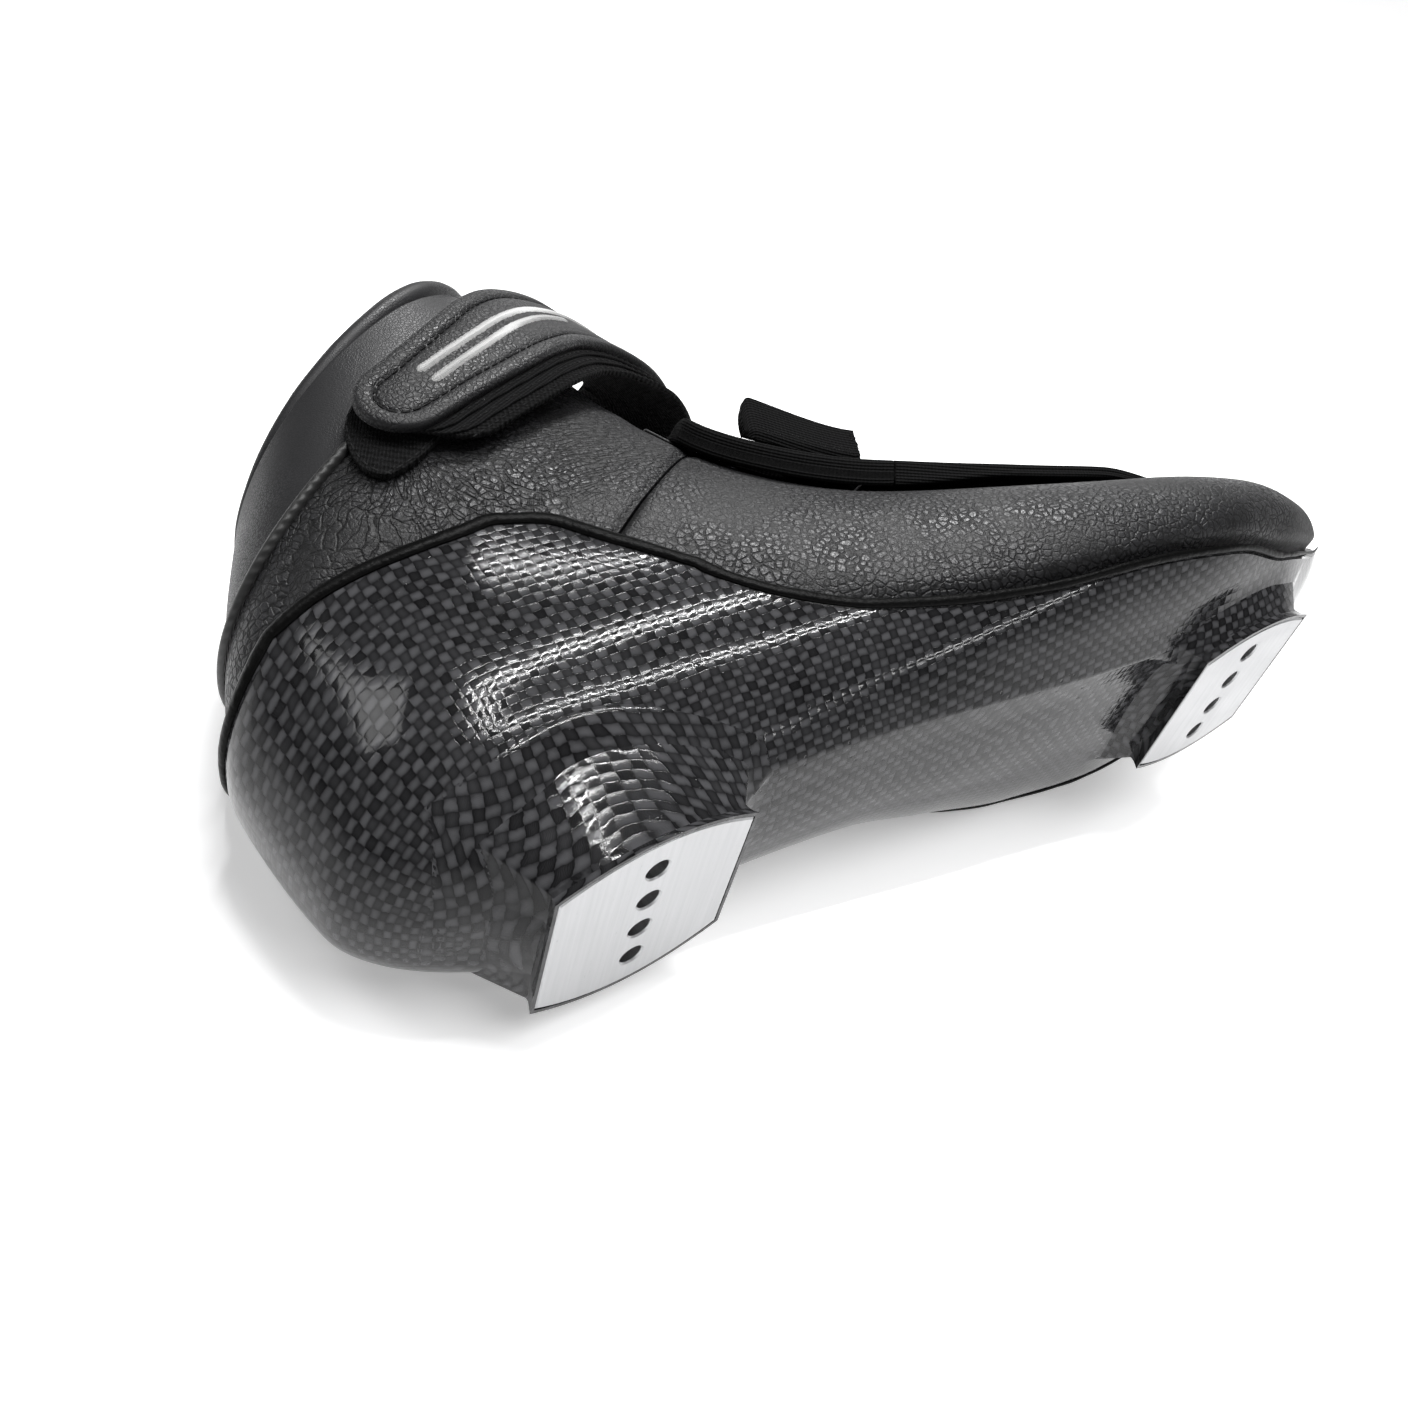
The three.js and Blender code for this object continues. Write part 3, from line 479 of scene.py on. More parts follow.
carbon = Finish("carbon_laminate", (0.012, 0.012, 0.013), 0.12, ior=1.45, specular_ior_level=0.2)
weave_u, weave_v = carbon.along()
here = carbon.place()
wander = carbon.noise(here, 0.02, 2.0) - 0.5
fray = carbon.noise(here, 0.42, 2.0) - 0.5
mirrored = carbon.node("ShaderNodeVectorMath", {"operation": "SCALE"}, {0: here, "Scale": -1.0})
fray_across = carbon.noise(mirrored, 0.42) - 0.5
across_u = (weave_u + wander * 9 + fray * 1.1) / TOW
across_v = (weave_v + wander * 7 + fray_across * 1.1) / TOW
cell_u = across_u.maths("FLOOR")
cell_v = across_v.maths("FLOOR")
part_u = across_u - cell_u
part_v = across_v - cell_v
over = (((cell_u + cell_v) / 2).maths("FRACT") * 2).maths("ROUND")
hump_u = (part_u * math.pi).maths("SINE")
hump_v = (part_v * math.pi).maths("SINE")
round_u = hump_u.maths("MAXIMUM", 0.001)
round_v = hump_v.maths("MAXIMUM", 0.001)
cushion_one = (round_u ** 0.35) * (round_v ** 0.8)
cushion_two = (round_u ** 0.8) * (round_v ** 0.35)
cushion = cushion_one * over + cushion_two * (1 - over)
fibre_u = (across_u * 60).maths("SINE")
fibre_v = (across_v * 60).maths("SINE")
fibre = fibre_v * over + fibre_u * (1 - over)
each = carbon.node(
    "ShaderNodeTexWhiteNoise",
    {"noise_dimensions": "2D"},
    {"Vector": carbon.join(cell_u, cell_v)},
)
# Painted light in the colour: tows that run one way are lighter, as a painted sheen, and each tow darkens
# towards its rounded edges, as painted shade. The random tone of each cell and the fibre lines are the
# cloth's own.
weave_tone_sheen_and_shade = over * 0.62 + each * 0.3 + fibre * 0.07 + carbon.noise(here, 0.05, 1.0) * 0.35
weave_tone_sheen_and_shade = weave_tone_sheen_and_shade * (cushion * 0.75 + 0.25)
carbon.feed("Base Color", carbon.tint(weave_tone_sheen_and_shade, (0.001, 0.001, 0.0011), (0.052, 0.052, 0.055)))
pinhole = carbon.spread(carbon.cells(here, 0.35), 0.09, 0.16, 1.0, 0.0)
patchy = carbon.spread(carbon.noise(here, 0.03, 2.0), 0.55, 0.7, 0.0, 1.0)
carbon.feed("Roughness", carbon.spread(cushion - over * 0.4, 0.0, 1.0, 0.11, 0.05))
print_through = cushion * 0.5 + fibre * 0.012 + carbon.noise(here, 0.25, 3.0) * 0.5
carbon.relief(print_through - pinhole * patchy * 2.5, 0.04)


def ridge(points):
    """The crest that runs along the sole, between the outer corners of the two mounts."""
    x, y = points[..., 0], points[..., 1]
    line = mix(-17.5, -14.5, (x - 21) / 125)
    away = np.abs(y - line)
    lengthways = ease((x - 2) / 18) * ease((160 - x) / 18)
    below = points[..., 2] < 16
    return CREST_HEIGHT * np.maximum(0, 1 - away / CREST_REACH) ** 1.6 * lengthways * below


t = np.concatenate([np.array([0.0, 0.003, 0.007]), stations(187, 0.012, RIM_END)])[:, None]
turns = stations(171, -1, 1)[None, :] * rim_turn(t)
outer_skin = on_form(t, turns, ridge(form_point(t, turns)))
inner_skin = on_form(t, turns, -SHELL_WALL)
for skin in (outer_skin, inner_skin):
    skin[0] = skin[0].mean(0)


def cloth_map(points):
    """Where the cloth's threads lie: along the sole and up its walls, and fanned round heel and toe."""
    x, y, z = points[..., 0], points[..., 1], points[..., 2]
    heel, toe = FAN_HEEL - x, x - FAN_TOE
    beyond = np.maximum(np.maximum(heel, toe), 0)
    side = np.abs(y - np.where(toe > 0, 6, 0))
    reach = np.hypot(beyond, side)
    fan = np.where(toe > 0, 40, 34) * (np.pi / 2 - np.arctan2(side, beyond + 1e-9))
    u = np.where(heel > 0, FAN_HEEL - fan, np.where(toe > 0, FAN_TOE + fan, x))
    return np.stack([u, reach + z], -1)


shell_uv = cloth_map(outer_skin).reshape(-1, 2)


def underside(x, y):
    """The point of the form's underside over a place in the plan."""
    t = 0.7 - x / 400
    turn = -y / 120
    e = 1e-4
    for _ in range(60):
        p = form_point(t, turn)
        dt = (form_point(t + e, turn) - p) / e
        dturn = (form_point(t, turn + e) - p) / e
        det = dt[..., 0] * dturn[..., 1] - dturn[..., 0] * dt[..., 1]
        ex, ey = x - p[..., 0], y - p[..., 1]
        t = t + np.clip((ex * dturn[..., 1] - dturn[..., 0] * ey) / det, -0.03, 0.03)
        turn = np.clip(turn + np.clip((dt[..., 0] * ey - ex * dt[..., 1]) / det, -0.05, 0.05), -0.45, 0.45)
    return on_form(t, turn, ridge(form_point(t, turn)))


HEEL_PLATE = {"at": (0, 0, 0), "length": 42, "width": 34, "bulge": 5.5, "reach": (17, 7, 11)}
TOE_PLATE = {"at": (165, 5, -11), "length": 37, "width": 36, "bulge": 4.0, "reach": (16, 8, 10)}
LAMINATE_EDGE = 1.0


def plate_outline(plate, grow, n):
    """The plate's outline, straight across its ends and bowed at its sides, as n points for each edge."""
    a, b = plate["length"] / 2 + grow, plate["width"] / 2 + grow
    bow = 2 * plate["bulge"]
    s = np.arange(n) / n

    def side(y, x0, x1):
        return np.column_stack([mix(x0, x1, s), y + np.sign(y) * 2 * s * (1 - s) * bow])

    def end(x, y0, y1):
        return np.column_stack([np.full(n, x), mix(y0, y1, s)])

    return np.vstack([side(-b, -a, a), end(a, -b, b), side(b, a, -a), end(-a, b, -b)])


def skirt(plate):
    """The wall that flares from the cup down to the plate's edge, as rings of points with their map."""
    at = np.array(plate["at"], float)
    outline = plate_outline(plate, LAMINATE_EDGE, 44)
    foot = np.column_stack([outline + at[:2], np.full(len(outline), at[2] + 0.1)])
    out = unit(outline / [plate["length"], plate["width"]])
    rear, aside, front = plate["reach"]
    reach = np.column_stack([mix(rear, front, ease((out[:, 0] + 1) / 2)), np.full(len(out), aside)])
    head_xy = outline + at[:2] + out * reach
    head = underside(*head_xy.T)
    leave = unit(underside(*(head_xy + out * 0.6).T) - head)
    span = np.linalg.norm(head - foot, axis=1, keepdims=True)
    first = foot + np.column_stack([-out * 0.24 * span, 0.38 * span])
    last = head - leave * span * 0.55
    s = np.linspace(0, 1, 30)[:, None, None]
    rings = (1 - s) ** 3 * foot + 3 * s * (1 - s) ** 2 * first + 3 * s * s * (1 - s) * last + s**3 * head
    run = lengths(rings, 0)
    return rings, out * (run[-1:] - run)[..., None] - head_xy


def facing(points, faces, outward):
    """Turns a set of faces over if they look the wrong way. outward is a direction at each point."""
    a, b, c = (points[faces[:, k]] for k in range(3))
    turned = np.einsum("ij,ij->i", np.cross(b - a, c - a), outward[faces[:, 0]]).sum() < 0
    return faces[:, ::-1] if turned else faces


def wrap_faces(rows, columns, rows_closed=True):
    """Faces of a grid that closes round its columns, and round its rows too if it is a ring."""
    last = rows if rows_closed else rows - 1
    k, i = (g.ravel() for g in np.meshgrid(np.arange(last), np.arange(columns), indexing="ij"))
    k2, i2 = (k + 1) % rows, (i + 1) % columns
    return np.stack([k * columns + i, k * columns + i2, k2 * columns + i2, k2 * columns + i], 1)


shell_points = np.vstack([outer_skin.reshape(-1, 3), inner_skin.reshape(-1, 3)])
outward = np.vstack([form_normal(t, turns).reshape(-1, 3)] * 2)
shell_faces = slab_faces(*outer_skin.shape[:2])
top_count = (outer_skin.shape[0] - 1) * (outer_skin.shape[1] - 1)
if (facing(shell_points, shell_faces[:top_count], outward) != shell_faces[:top_count]).any():
    shell_faces = shell_faces[:, ::-1]
shell_maps = np.vstack([shell_uv, shell_uv])
for plate in (HEEL_PLATE, TOE_PLATE):
    rings, maps = skirt(plate)
    at = np.array(plate["at"], float)
    lip = (rings[0] - at) * [0.962, 0.962, 1] + at
    loop = np.concatenate([(lip + [0, 0, 3])[None], lip[None], rings, (rings[-1] + [0, 0, 3.5])[None]])
    loop_maps = np.concatenate([maps[:1], maps[:1], maps, maps[-1:]])
    flat_loop = loop.reshape(-1, 3)
    wall = wrap_faces(*loop.shape[:2])
    skirt_face = wall[3 * loop.shape[1] : 8 * loop.shape[1]]
    if (facing(flat_loop, skirt_face, (flat_loop - at) * [1, 1, 0]) != skirt_face).any():
        wall = wall[:, ::-1]
    shell_faces = np.vstack([shell_faces, wall + len(shell_points)])
    shell_points = np.vstack([shell_points, flat_loop])
    shell_maps = np.vstack([shell_maps, loop_maps.reshape(-1, 2)])
shell = make_piece("carbon_shell_woven", shell_points, shell_faces, carbon, shell_maps, 50)
fix(shell, "boot", "carbon_laminate", "carbon_shell")

# ---------------------------------------------------------------- mounting blocks
# Two aluminium blocks set into the laminate, milled flat in one pass after lay-up, so that both faces carry
# the same fine cutter lines. Each has four tapped holes in a row across the boot, for the blade's screws.
HOLE_PITCH = 9.4
HOLE_RADIUS = 2.5
HOLE_DEPTH = 5.8
HOLE_CHAMFER = 0.35
BLOCK_CHAMFER = 0.3

aluminium = Finish("brushed_aluminium", (0.66, 0.665, 0.675), 0.4, metallic=1.0)
here = aluminium.place()
x, y, z = aluminium.split(here)
lines = aluminium.noise(aluminium.join(x * 5, y * 0.12, z * 0.3), 1.0, 3.0, 0.6)
long_lines = aluminium.noise(aluminium.join(x * 1.1, y * 0.02, z * 0.3), 1.0, 2.0)
cloud = aluminium.noise(here, 0.12, 3.0)
scuffs = aluminium.noise(aluminium.join(x * 1.2, y * 0.4, z), 1.3, 4.0, 0.7, 1.5)
scuffed = aluminium.spread(scuffs, 0.66, 0.72, 0.0, 1.0)
shade = lines * 0.5 + long_lines * 0.3 + cloud * 0.25
aluminium.feed("Base Color", aluminium.tint(shade - scuffed * 0.5, (0.24, 0.242, 0.247), (0.56, 0.563, 0.57)))
aluminium.feed("Roughness", aluminium.spread(lines * 0.6 + cloud * 0.4, 0.3, 0.7, 0.3, 0.52))
aluminium.relief(lines + long_lines * 0.5 - scuffed * 0.4, 0.03)


def lathe(profile, sides):
    """Rings of points, turned about z from (radius, height) pairs."""
    a = np.linspace(0, 2 * np.pi, sides, endpoint=False)
    radius, height = np.array(profile, float).T
    rings = [radius[:, None] * np.cos(a), radius[:, None] * np.sin(a), np.tile(height[:, None], sides)]
    return np.stack(rings, -1)


def capped(loop):
    """A closed body from rings of points: faces round the rings, with its first and last ring filled."""
    rows, columns = loop.shape[:2]
    faces = [list(f) for f in wrap_faces(rows, columns, False)]
    faces.append(list(range(columns))[::-1])
    faces.append([(rows - 1) * columns + i for i in range(columns)])
    return faces


for plate, name in ((HEEL_PLATE, "heel"), (TOE_PLATE, "toe")):
    at = np.array(plate["at"], float)
    levels = [(0, -BLOCK_CHAMFER), (BLOCK_CHAMFER, 0)]
    levels += [(BLOCK_THICKNESS - BLOCK_CHAMFER, 0), (BLOCK_THICKNESS, -BLOCK_CHAMFER)]
    body = np.array([
        np.column_stack([plate_outline(plate, grow, 24) + at[:2], np.full(96, at[2] + height)])
        for height, grow in levels
    ])
    block = outwards(make_piece(name + "_block", body.reshape(-1, 3), capped(body), aluminium, sharp=35))
    profile = [(0.05, HOLE_DEPTH + 1.3), (HOLE_RADIUS, HOLE_DEPTH), (HOLE_RADIUS, HOLE_CHAMFER)]
    profile += [(HOLE_RADIUS + HOLE_CHAMFER, 0), (HOLE_RADIUS + HOLE_CHAMFER, -1)]
    for k in range(4):
        drill = lathe(profile[::-1], 40) + at + [0, (k - 1.5) * HOLE_PITCH, 0]
        cutter = outwards(make_piece("drill", drill.reshape(-1, 3), capped(drill), aluminium))
        cut = block.modifiers.new("drilled", "BOOLEAN")
        cut.object = cutter
        cut.solver = "EXACT"
        milled = bpy.data.meshes.new_from_object(block.evaluated_get(bpy.context.evaluated_depsgraph_get()))
        block.modifiers.clear()
        block.data = milled
        bpy.data.objects.remove(cutter)
    milled.set_sharp_from_angle(angle=math.radians(25))
    fix(block, "boot", "aluminium_block", name + "_mounting_block")

# ---------------------------------------------------------------- sealant along the rim
# A bead of black sealant, run by hand along the shell's rim where the leather comes out of it, so that it
# swells and thins. It is thickest over the ankle.
RIM_START = 0.06
BEAD_STATIONS = [0.06, 0.2, 0.5, 0.75, 0.92]
BEAD_SIZES = [0.2, 0.8, 1.1, 1.6, 1.5]

sealant = Finish("rim_sealant", (0.002, 0.002, 0.002), 0.4, specular_ior_level=0.08)
sealant.relief(sealant.noise(sealant.place(), 0.7, 3.0), 0.25)


def rim_path(n):
    """Places along the rim: from the toe, round the outer side, the heel and the inner side."""
    k = np.linspace(0, 1, n)
    t = mix(RIM_START, RIM_END, (1 - np.cos(np.pi * k)) / 2)
    end = rim_turn(RIM_END)
    over = np.linspace(1, 0, 8)[1:] * end
    half_t = np.concatenate([t, np.full(7, RIM_END)])
    half_turn = np.concatenate([rim_turn(t), over])
    return np.concatenate([half_t, half_t[-2::-1]]), np.concatenate([half_turn, -half_turn[-2::-1]])


def even(points, step, *others):
    """The same path with even steps, and other values along it."""
    run = lengths(points, 0)
    at = np.linspace(0, run[-1], max(int(run[-1] / step), 8))
    columns = [points] + [np.atleast_2d(o.T).T for o in others]
    return [np.column_stack([np.interp(at, run, c[:, k]) for k in range(c.shape[1])]) for c in columns]


def sweep(path, up, wide, high, sides, power=2.0):
    """A rod along a path: half widths across it and along its up direction, as rings of points."""
    tangent = unit(np.gradient(path, axis=0))
    up = unit(up - tangent * np.sum(up * tangent, -1, keepdims=True))
    out = np.cross(tangent, up)
    a = np.linspace(0, 2 * np.pi, sides, endpoint=False)
    c = np.sign(np.cos(a)) * np.abs(np.cos(a)) ** (2 / power)
    s = np.sign(np.sin(a)) * np.abs(np.sin(a)) ** (2 / power)
    wide = np.broadcast_to(wide, len(path))[:, None, None]
    high = np.broadcast_to(high, len(path))[:, None, None]
    return path[:, None] + out[:, None] * c[None, :, None] * wide + up[:, None] * s[None, :, None] * high


def rod(name, rings, finish, sharp=60):
    """A closed rod from its rings, with rounded ends, mapped along its length."""
    centre = rings.mean(1, keepdims=True)
    first = centre[0] + (rings[0] - centre[0]) * 0.6 - (centre[1] - centre[0]) * 0.4
    last = centre[-1] + (rings[-1] - centre[-1]) * 0.6 + (centre[-1] - centre[-2]) * 0.4
    rings = np.concatenate([first[None], rings, last[None]])
    run = lengths(rings.mean(1), 0)
    around = lengths(np.concatenate([rings, rings[:, :1]], 1), 1)[:, :-1]
    uvs = np.stack([np.broadcast_to(run[:, None], around.shape), around], -1).reshape(-1, 2)
    return outwards(make_piece(name, rings.reshape(-1, 3), capped(rings), finish, uvs, sharp))


rng = np.random.default_rng(7)


def wavy(n, size, reach):
    """A slow random wave of n values, about 1 in size times, that changes over reach values."""
    knots = rng.uniform(-1, 1, n // reach + 3)
    return size * np.interp(np.arange(n) / reach, np.arange(len(knots)), knots)


rim_t, rim_turns = rim_path(150)
edge_points = form_point(rim_t, rim_turns)
normals = form_normal(rim_t, rim_turns)
away = unit(np.cross(unit(np.gradient(edge_points, axis=0)), normals))
beyond = form_point(rim_t, rim_turns * 1.03 + 1e-3) - edge_points
away *= np.sign(np.sum(away * beyond, -1, keepdims=True) + 1e-9)
at_back = rim_t > RIM_END - 1e-6
lengthways = unit(form_point(0.93, rim_turns) - form_point(0.9, rim_turns))
away[at_back] = lengthways[at_back]
bead_line = edge_points + away * 1.5 + normals * 0.15
bead_size = np.interp(rim_t, BEAD_STATIONS, BEAD_SIZES)
bead_line, bead_up, bead_size = even(bead_line, 1.2, normals, bead_size)
size = bead_size[:, 0] + wavy(len(bead_line), 0.12, 4)
bead = rod("rim_sealant_bead", sweep(bead_line, bead_up, size, size * 0.62, 10), sealant)
fix(bead, "boot", "rim_sealant", "shell_rim_bead")

# ---------------------------------------------------------------- leather upper
# Full-grain black leather, lasted wet over the form and drawn down inside the shell. The vamp is one piece
# round the toe, the quarters are two, and their seam leans forward. It is creased where the ankle bends.
LEATHER = 1.8
LEATHER_RECESS = 2.7
LEATHER_PUFF = 2.3
LEATHER_TUCK = 0.05
SEAM_GAP = 0.0015
THROAT_START = 0.2
THROAT = np.array([[0.2, 0.985], [0.26, 0.925], [0.4, 0.9], [0.6, 0.885], [0.8, 0.87], [1.0, 0.86]])
PIPING_AT = 0.9475
PIPING_RADIUS = 1.0
PIPING_REACH = (-0.44, 0.375)
CREASE_FAN = (2, 101)
# Where a foot has pushed the leather out or let it sink: a place, how far that reaches, and how high.
SWELLS = [
    (30, -38, 86, 15, 0.8), (52, -34, 104, 16, 0.7), (2, -38, 78, 11, -0.5), (66, -36, 62, 13, -0.4),
    (104, -42, 38, 14, 0.4), (20, -39, 100, 9, -0.7), (40, 38, 92, 20, 0.6), (120, 40, 34, 16, 0.4),
]


def leather(name, color, roughness, pebble, depth, creased=0.0):
    """Black leather: pebbles of grain with fine valleys, over a soft unevenness, creased where it bends."""
    made = Finish(name, color, roughness, specular_ior_level=0.21)
    here = made.place()
    stir = made.node("ShaderNodeTexNoise", {}, {"Vector": here, "Scale": 0.4, "Detail": 2.0}, output=1)
    bent = made.node("ShaderNodeVectorMath", {"operation": "ADD"}, {0: here, 1: stir})
    coarse = made.spread(made.cells(bent, 1 / pebble, "DISTANCE_TO_EDGE"), 0.0, 0.2, 0.0, 1.0)
    fine = made.spread(made.cells(bent, 2.2 / pebble, "DISTANCE_TO_EDGE"), 0.0, 0.16, 0.0, 1.0)
    worn = made.spread(made.noise(here, 0.04, 2.0), 0.38, 0.6, 0.3, 1.0)
    grain_and_painted_shade = coarse * worn * 0.85 + fine * 0.15
    height = grain_and_painted_shade + made.noise(here, 0.3, 3.0) * 0.5
    if creased:
        x, y, z = made.split(here)
        ahead, above = x - CREASE_FAN[0], z - CREASE_FAN[1]
        angle = above.maths("ARCTAN2", ahead)
        distance = (ahead * ahead + above * above) ** 0.5
        sway = made.noise(here, 0.12, 2.0)
        fan = made.cells(made.join(angle * 9 + sway * 2.4, distance * 0.16 + sway), 1.0, "DISTANCE_TO_EDGE")
        folds = made.spread(fan, 0.0, 0.09, 1.0, 0.0)
        drawn_out = made.join(x * 0.22 + sway, y * 0.5, z * 0.95 + sway * 3)
        wrinkles = made.spread(made.cells(drawn_out, 1.0, "DISTANCE_TO_EDGE"), 0.0, 0.12, 1.0, 0.0)
        near = made.spread(distance, 16.0, 50.0, 1.0, 0.0) * made.spread(y, -6.0, -20.0, 0.0, 1.0)
        front = made.spread(x, 14.0, 34.0, 0.0, 1.0) * made.spread(z, 66.0, 84.0, 0.0, 1.0)
        height = height - folds * near * creased * 1.2 - wrinkles * front * creased
        # Painted shade: the folds and wrinkles also darken the leather's colour.
        grain_and_painted_shade = grain_and_painted_shade - folds * near * 0.5 - wrinkles * front * 0.4
    # Painted light: the colour is darker in the grain's valleys and creases, as painted shade, and paler on
    # the pebbles' tops, as a painted sheen. It is strongest on the creased leather.
    painted_valley_shade, painted_pebble_sheen = (0.15, 1.7) if creased else (0.6, 1.25)
    made.feed("Base Color", made.tint(grain_and_painted_shade * 0.8, [c * painted_valley_shade for c in color], [c * painted_pebble_sheen for c in color]))
    made.feed("Roughness", made.spread(grain_and_painted_shade, 0.0, 1.2, roughness + 0.16, roughness - 0.07))
    made.relief(height, depth)
    return made


grained_leather = leather(
    "grained_leather", (0.011, 0.011, 0.0119), 0.42, pebble=1.7, depth=0.22, creased=0.9
)


def throat_turn(t):
    return np.where(t <= THROAT_START, 1.0, smooth(THROAT, t)[0])


def upper_lift(t, turn):
    """How far the leather stands out of the rim's recess."""
    side = (np.abs(turn) - rim_turn(t)) / 0.09
    back = (t - RIM_END - 0.004) / 0.02
    return -LEATHER_RECESS + LEATHER_PUFF * ease(np.maximum(side, back))


def tuck_turn(t):
    return mix(np.maximum(rim_turn(t) - LEATHER_TUCK, 0.01), 0.004, ease((t - 0.875) / 0.03))


def seam_station(v):
    return 0.767 - 0.165 * v


def swells(points):
    """The soft hollows and bulges that a foot has left in the leather."""
    total = np.zeros(points.shape[:-1])
    for x, y, z, reach, size in SWELLS:
        total += size * np.exp(-np.sum((points - [x, y, z]) ** 2, -1) / (2 * reach**2))
    return total


def hem(points, from_end, depth=0.7, reach=1.3):
    """A dip towards the sewn edge at one end of the grid's rows."""
    run = lengths(points, 0)
    gap = run[-1:] - run if from_end else run
    return -depth * np.exp(-((gap / reach) ** 2))


def open_sheet(points, outward, start):
    faces = grid_faces(*points.shape[:2])
    return facing(points.reshape(-1, 3), faces, outward.reshape(-1, 3)) + start


def grid(along, across):
    """Two runs of values as the two coordinates of a grid."""
    return np.meshgrid(along, across, indexing="ij")


vamp_points, vamp_faces = [], []
for side in (1, -1):
    u, v = grid(stations(150, 0, 1) ** 1.15, stations(70, 0, 1) ** 1.2)
    t = u * (seam_station(v) - SEAM_GAP)
    turn = side * mix(tuck_turn(t), throat_turn(t), v)
    base = on_form(t, turn, upper_lift(t, turn))
    lift = upper_lift(t, turn) + swells(base) + hem(base, True)
    points = on_form(t, turn, lift)
    points[0] = points[0].mean(0)
    vamp_faces.append(open_sheet(points, form_normal(t, turn), len(vamp_points) * points[..., 0].size))
    vamp_points.append(points.reshape(-1, 3))


def weld(piece):
    """Joins points that lie within a fiftieth of a millimetre."""
    shape = bmesh.new()
    shape.from_mesh(piece.data)
    bmesh.ops.remove_doubles(shape, verts=shape.verts, dist=0.02 / 1000)
    bmesh.ops.dissolve_degenerate(shape, edges=shape.edges, dist=1e-7)
    shape.to_mesh(piece.data)
    shape.free()
    return piece


def thicken(piece, thickness):
    wall = piece.modifiers.new("wall", "SOLIDIFY")
    wall.thickness = thickness / 1000
    wall.offset = -1
    return piece


vamp_points, vamp_faces = np.vstack(vamp_points), np.vstack(vamp_faces)
vamp = weld(make_piece("vamp_leather", vamp_points, vamp_faces, grained_leather, sharp=None))
fix(thicken(vamp, LEATHER), "boot", "grained_leather", "vamp")


def piping_room(turn):
    """Half the gap between quarters and cuff, as a share of the form's length."""
    past = np.maximum(turn - PIPING_REACH[1], PIPING_REACH[0] - turn)
    per_mm = 0.01 / np.linalg.norm(form_point(0.955, turn) - form_point(0.945, turn), axis=-1)
    return mix(PIPING_RADIUS + 0.5, 0.2, ease(past / 0.05)) * per_mm


def slab(name, top, bottom, finish, sharp=None):
    """A closed sheet between two grids of points, mapped in millimetres from its middle."""
    nu, nv = top.shape[:2]
    u, v = lengths(top, 0), lengths(top, 1)
    u = u - u[nu // 2 : nu // 2 + 1, :]
    v = v - v[:, nv // 2 : nv // 2 + 1]
    uvs = np.stack([u, v], -1).reshape(-1, 2)
    points = np.vstack([top.reshape(-1, 3), bottom.reshape(-1, 3)])
    return outwards(make_piece(name, points, slab_faces(nu, nv), finish, np.vstack([uvs, uvs]), sharp))


def layer(name, t, turn, top, bottom, finish):
    """A closed sheet that follows the form, between two heights above it."""
    return slab(name, on_form(t, turn, top), on_form(t, turn, bottom), finish)


for name, side in (("lateral", 1), ("medial", -1)):
    u, v = grid(stations(90, 0, 1), stations(110, 0, 1) ** 1.2)
    rough = mix(seam_station(v), PIPING_AT, u)
    turn = side * mix(tuck_turn(rough), throat_turn(rough), v)
    t = mix(seam_station(v) + SEAM_GAP, PIPING_AT - piping_room(turn), u)
    base = on_form(t, turn, upper_lift(t, turn))
    lift = upper_lift(t, turn) + swells(base) + hem(base, False)
    quarter = layer("quarter_leather_" + name, t, turn, lift, lift - LEATHER, grained_leather)
    fix(soften(quarter, 0.35), "boot", "grained_leather", "quarter_" + name)

# ---------------------------------------------------------------- rear cuff, its piping and the collar's roll
# The cuff is a smoother leather that wraps the heel's tendon, edged below with a black corded piping. A roll
# of soft foam under thin leather closes the collar's top.
COLLAR_RADIUS = 2.6
CUFF_LIFT = LEATHER_PUFF - LEATHER_RECESS

smooth_leather = leather("smooth_leather", (0.0105, 0.0105, 0.0114), 0.44, pebble=0.7, depth=0.04)
u, v = grid(stations(34, 0, 1), stations(220, -1, 1))
turn = v * throat_turn(0.97)
t = mix(PIPING_AT + piping_room(turn), 1, u)
cuff_top = CUFF_LIFT + 0.25 * np.sin(np.pi * u)
cuff = layer("rear_cuff_leather", t, turn, cuff_top, CUFF_LIFT - LEATHER, smooth_leather)
fix(soften(cuff, 0.4), "boot", "smooth_leather", "rear_cuff")


def from_ends(path):
    """The distance along a path from its nearer end."""
    return np.minimum(lengths(path, 0), lengths(path[::-1], 0)[::-1])


piping_finish = Finish("piping", (0.008, 0.008, 0.008), 0.5)
u, v = piping_finish.along()
piping_finish.relief((u * 2.6 + v * 1.6).maths("SINE"), 0.06)
turn = stations(140, PIPING_REACH[0] - 0.03, PIPING_REACH[1] + 0.03)
line, line_up = even(on_form(PIPING_AT, turn, -0.1), 0.9, form_normal(PIPING_AT, turn))
taper = ease(from_ends(line) / 5 + 0.25)
piping = rod("cuff_piping_cord", sweep(line, line_up, 1.15 * taper, 1.35 * taper, 12), piping_finish)
fix(piping, "boot", "piping", "cuff_piping")

turn = stations(170, -throat_turn(1), throat_turn(1))
rise = unit(form_point(1.0, turn) - form_point(1.0 - 0.015, turn))
line = on_form(1.0, turn, -3.6) + rise * (COLLAR_RADIUS - 0.4)
line, line_up = even(line, 1.2, rise)
n = len(line)
front = np.exp(-(((np.abs(np.linspace(-1, 1, n)) - 0.8) / 0.2) ** 2))
plump = 1 + wavy(n, 0.025, 6) + 0.4 * front
plump = plump * np.sqrt(np.clip(from_ends(line) / 3, 0.08, 1))
collar = rod("collar_padding", sweep(line, line_up, 3.4 * plump, 2.5 * plump, 20), smooth_leather)
fix(collar, "boot", "smooth_leather", "collar_roll")

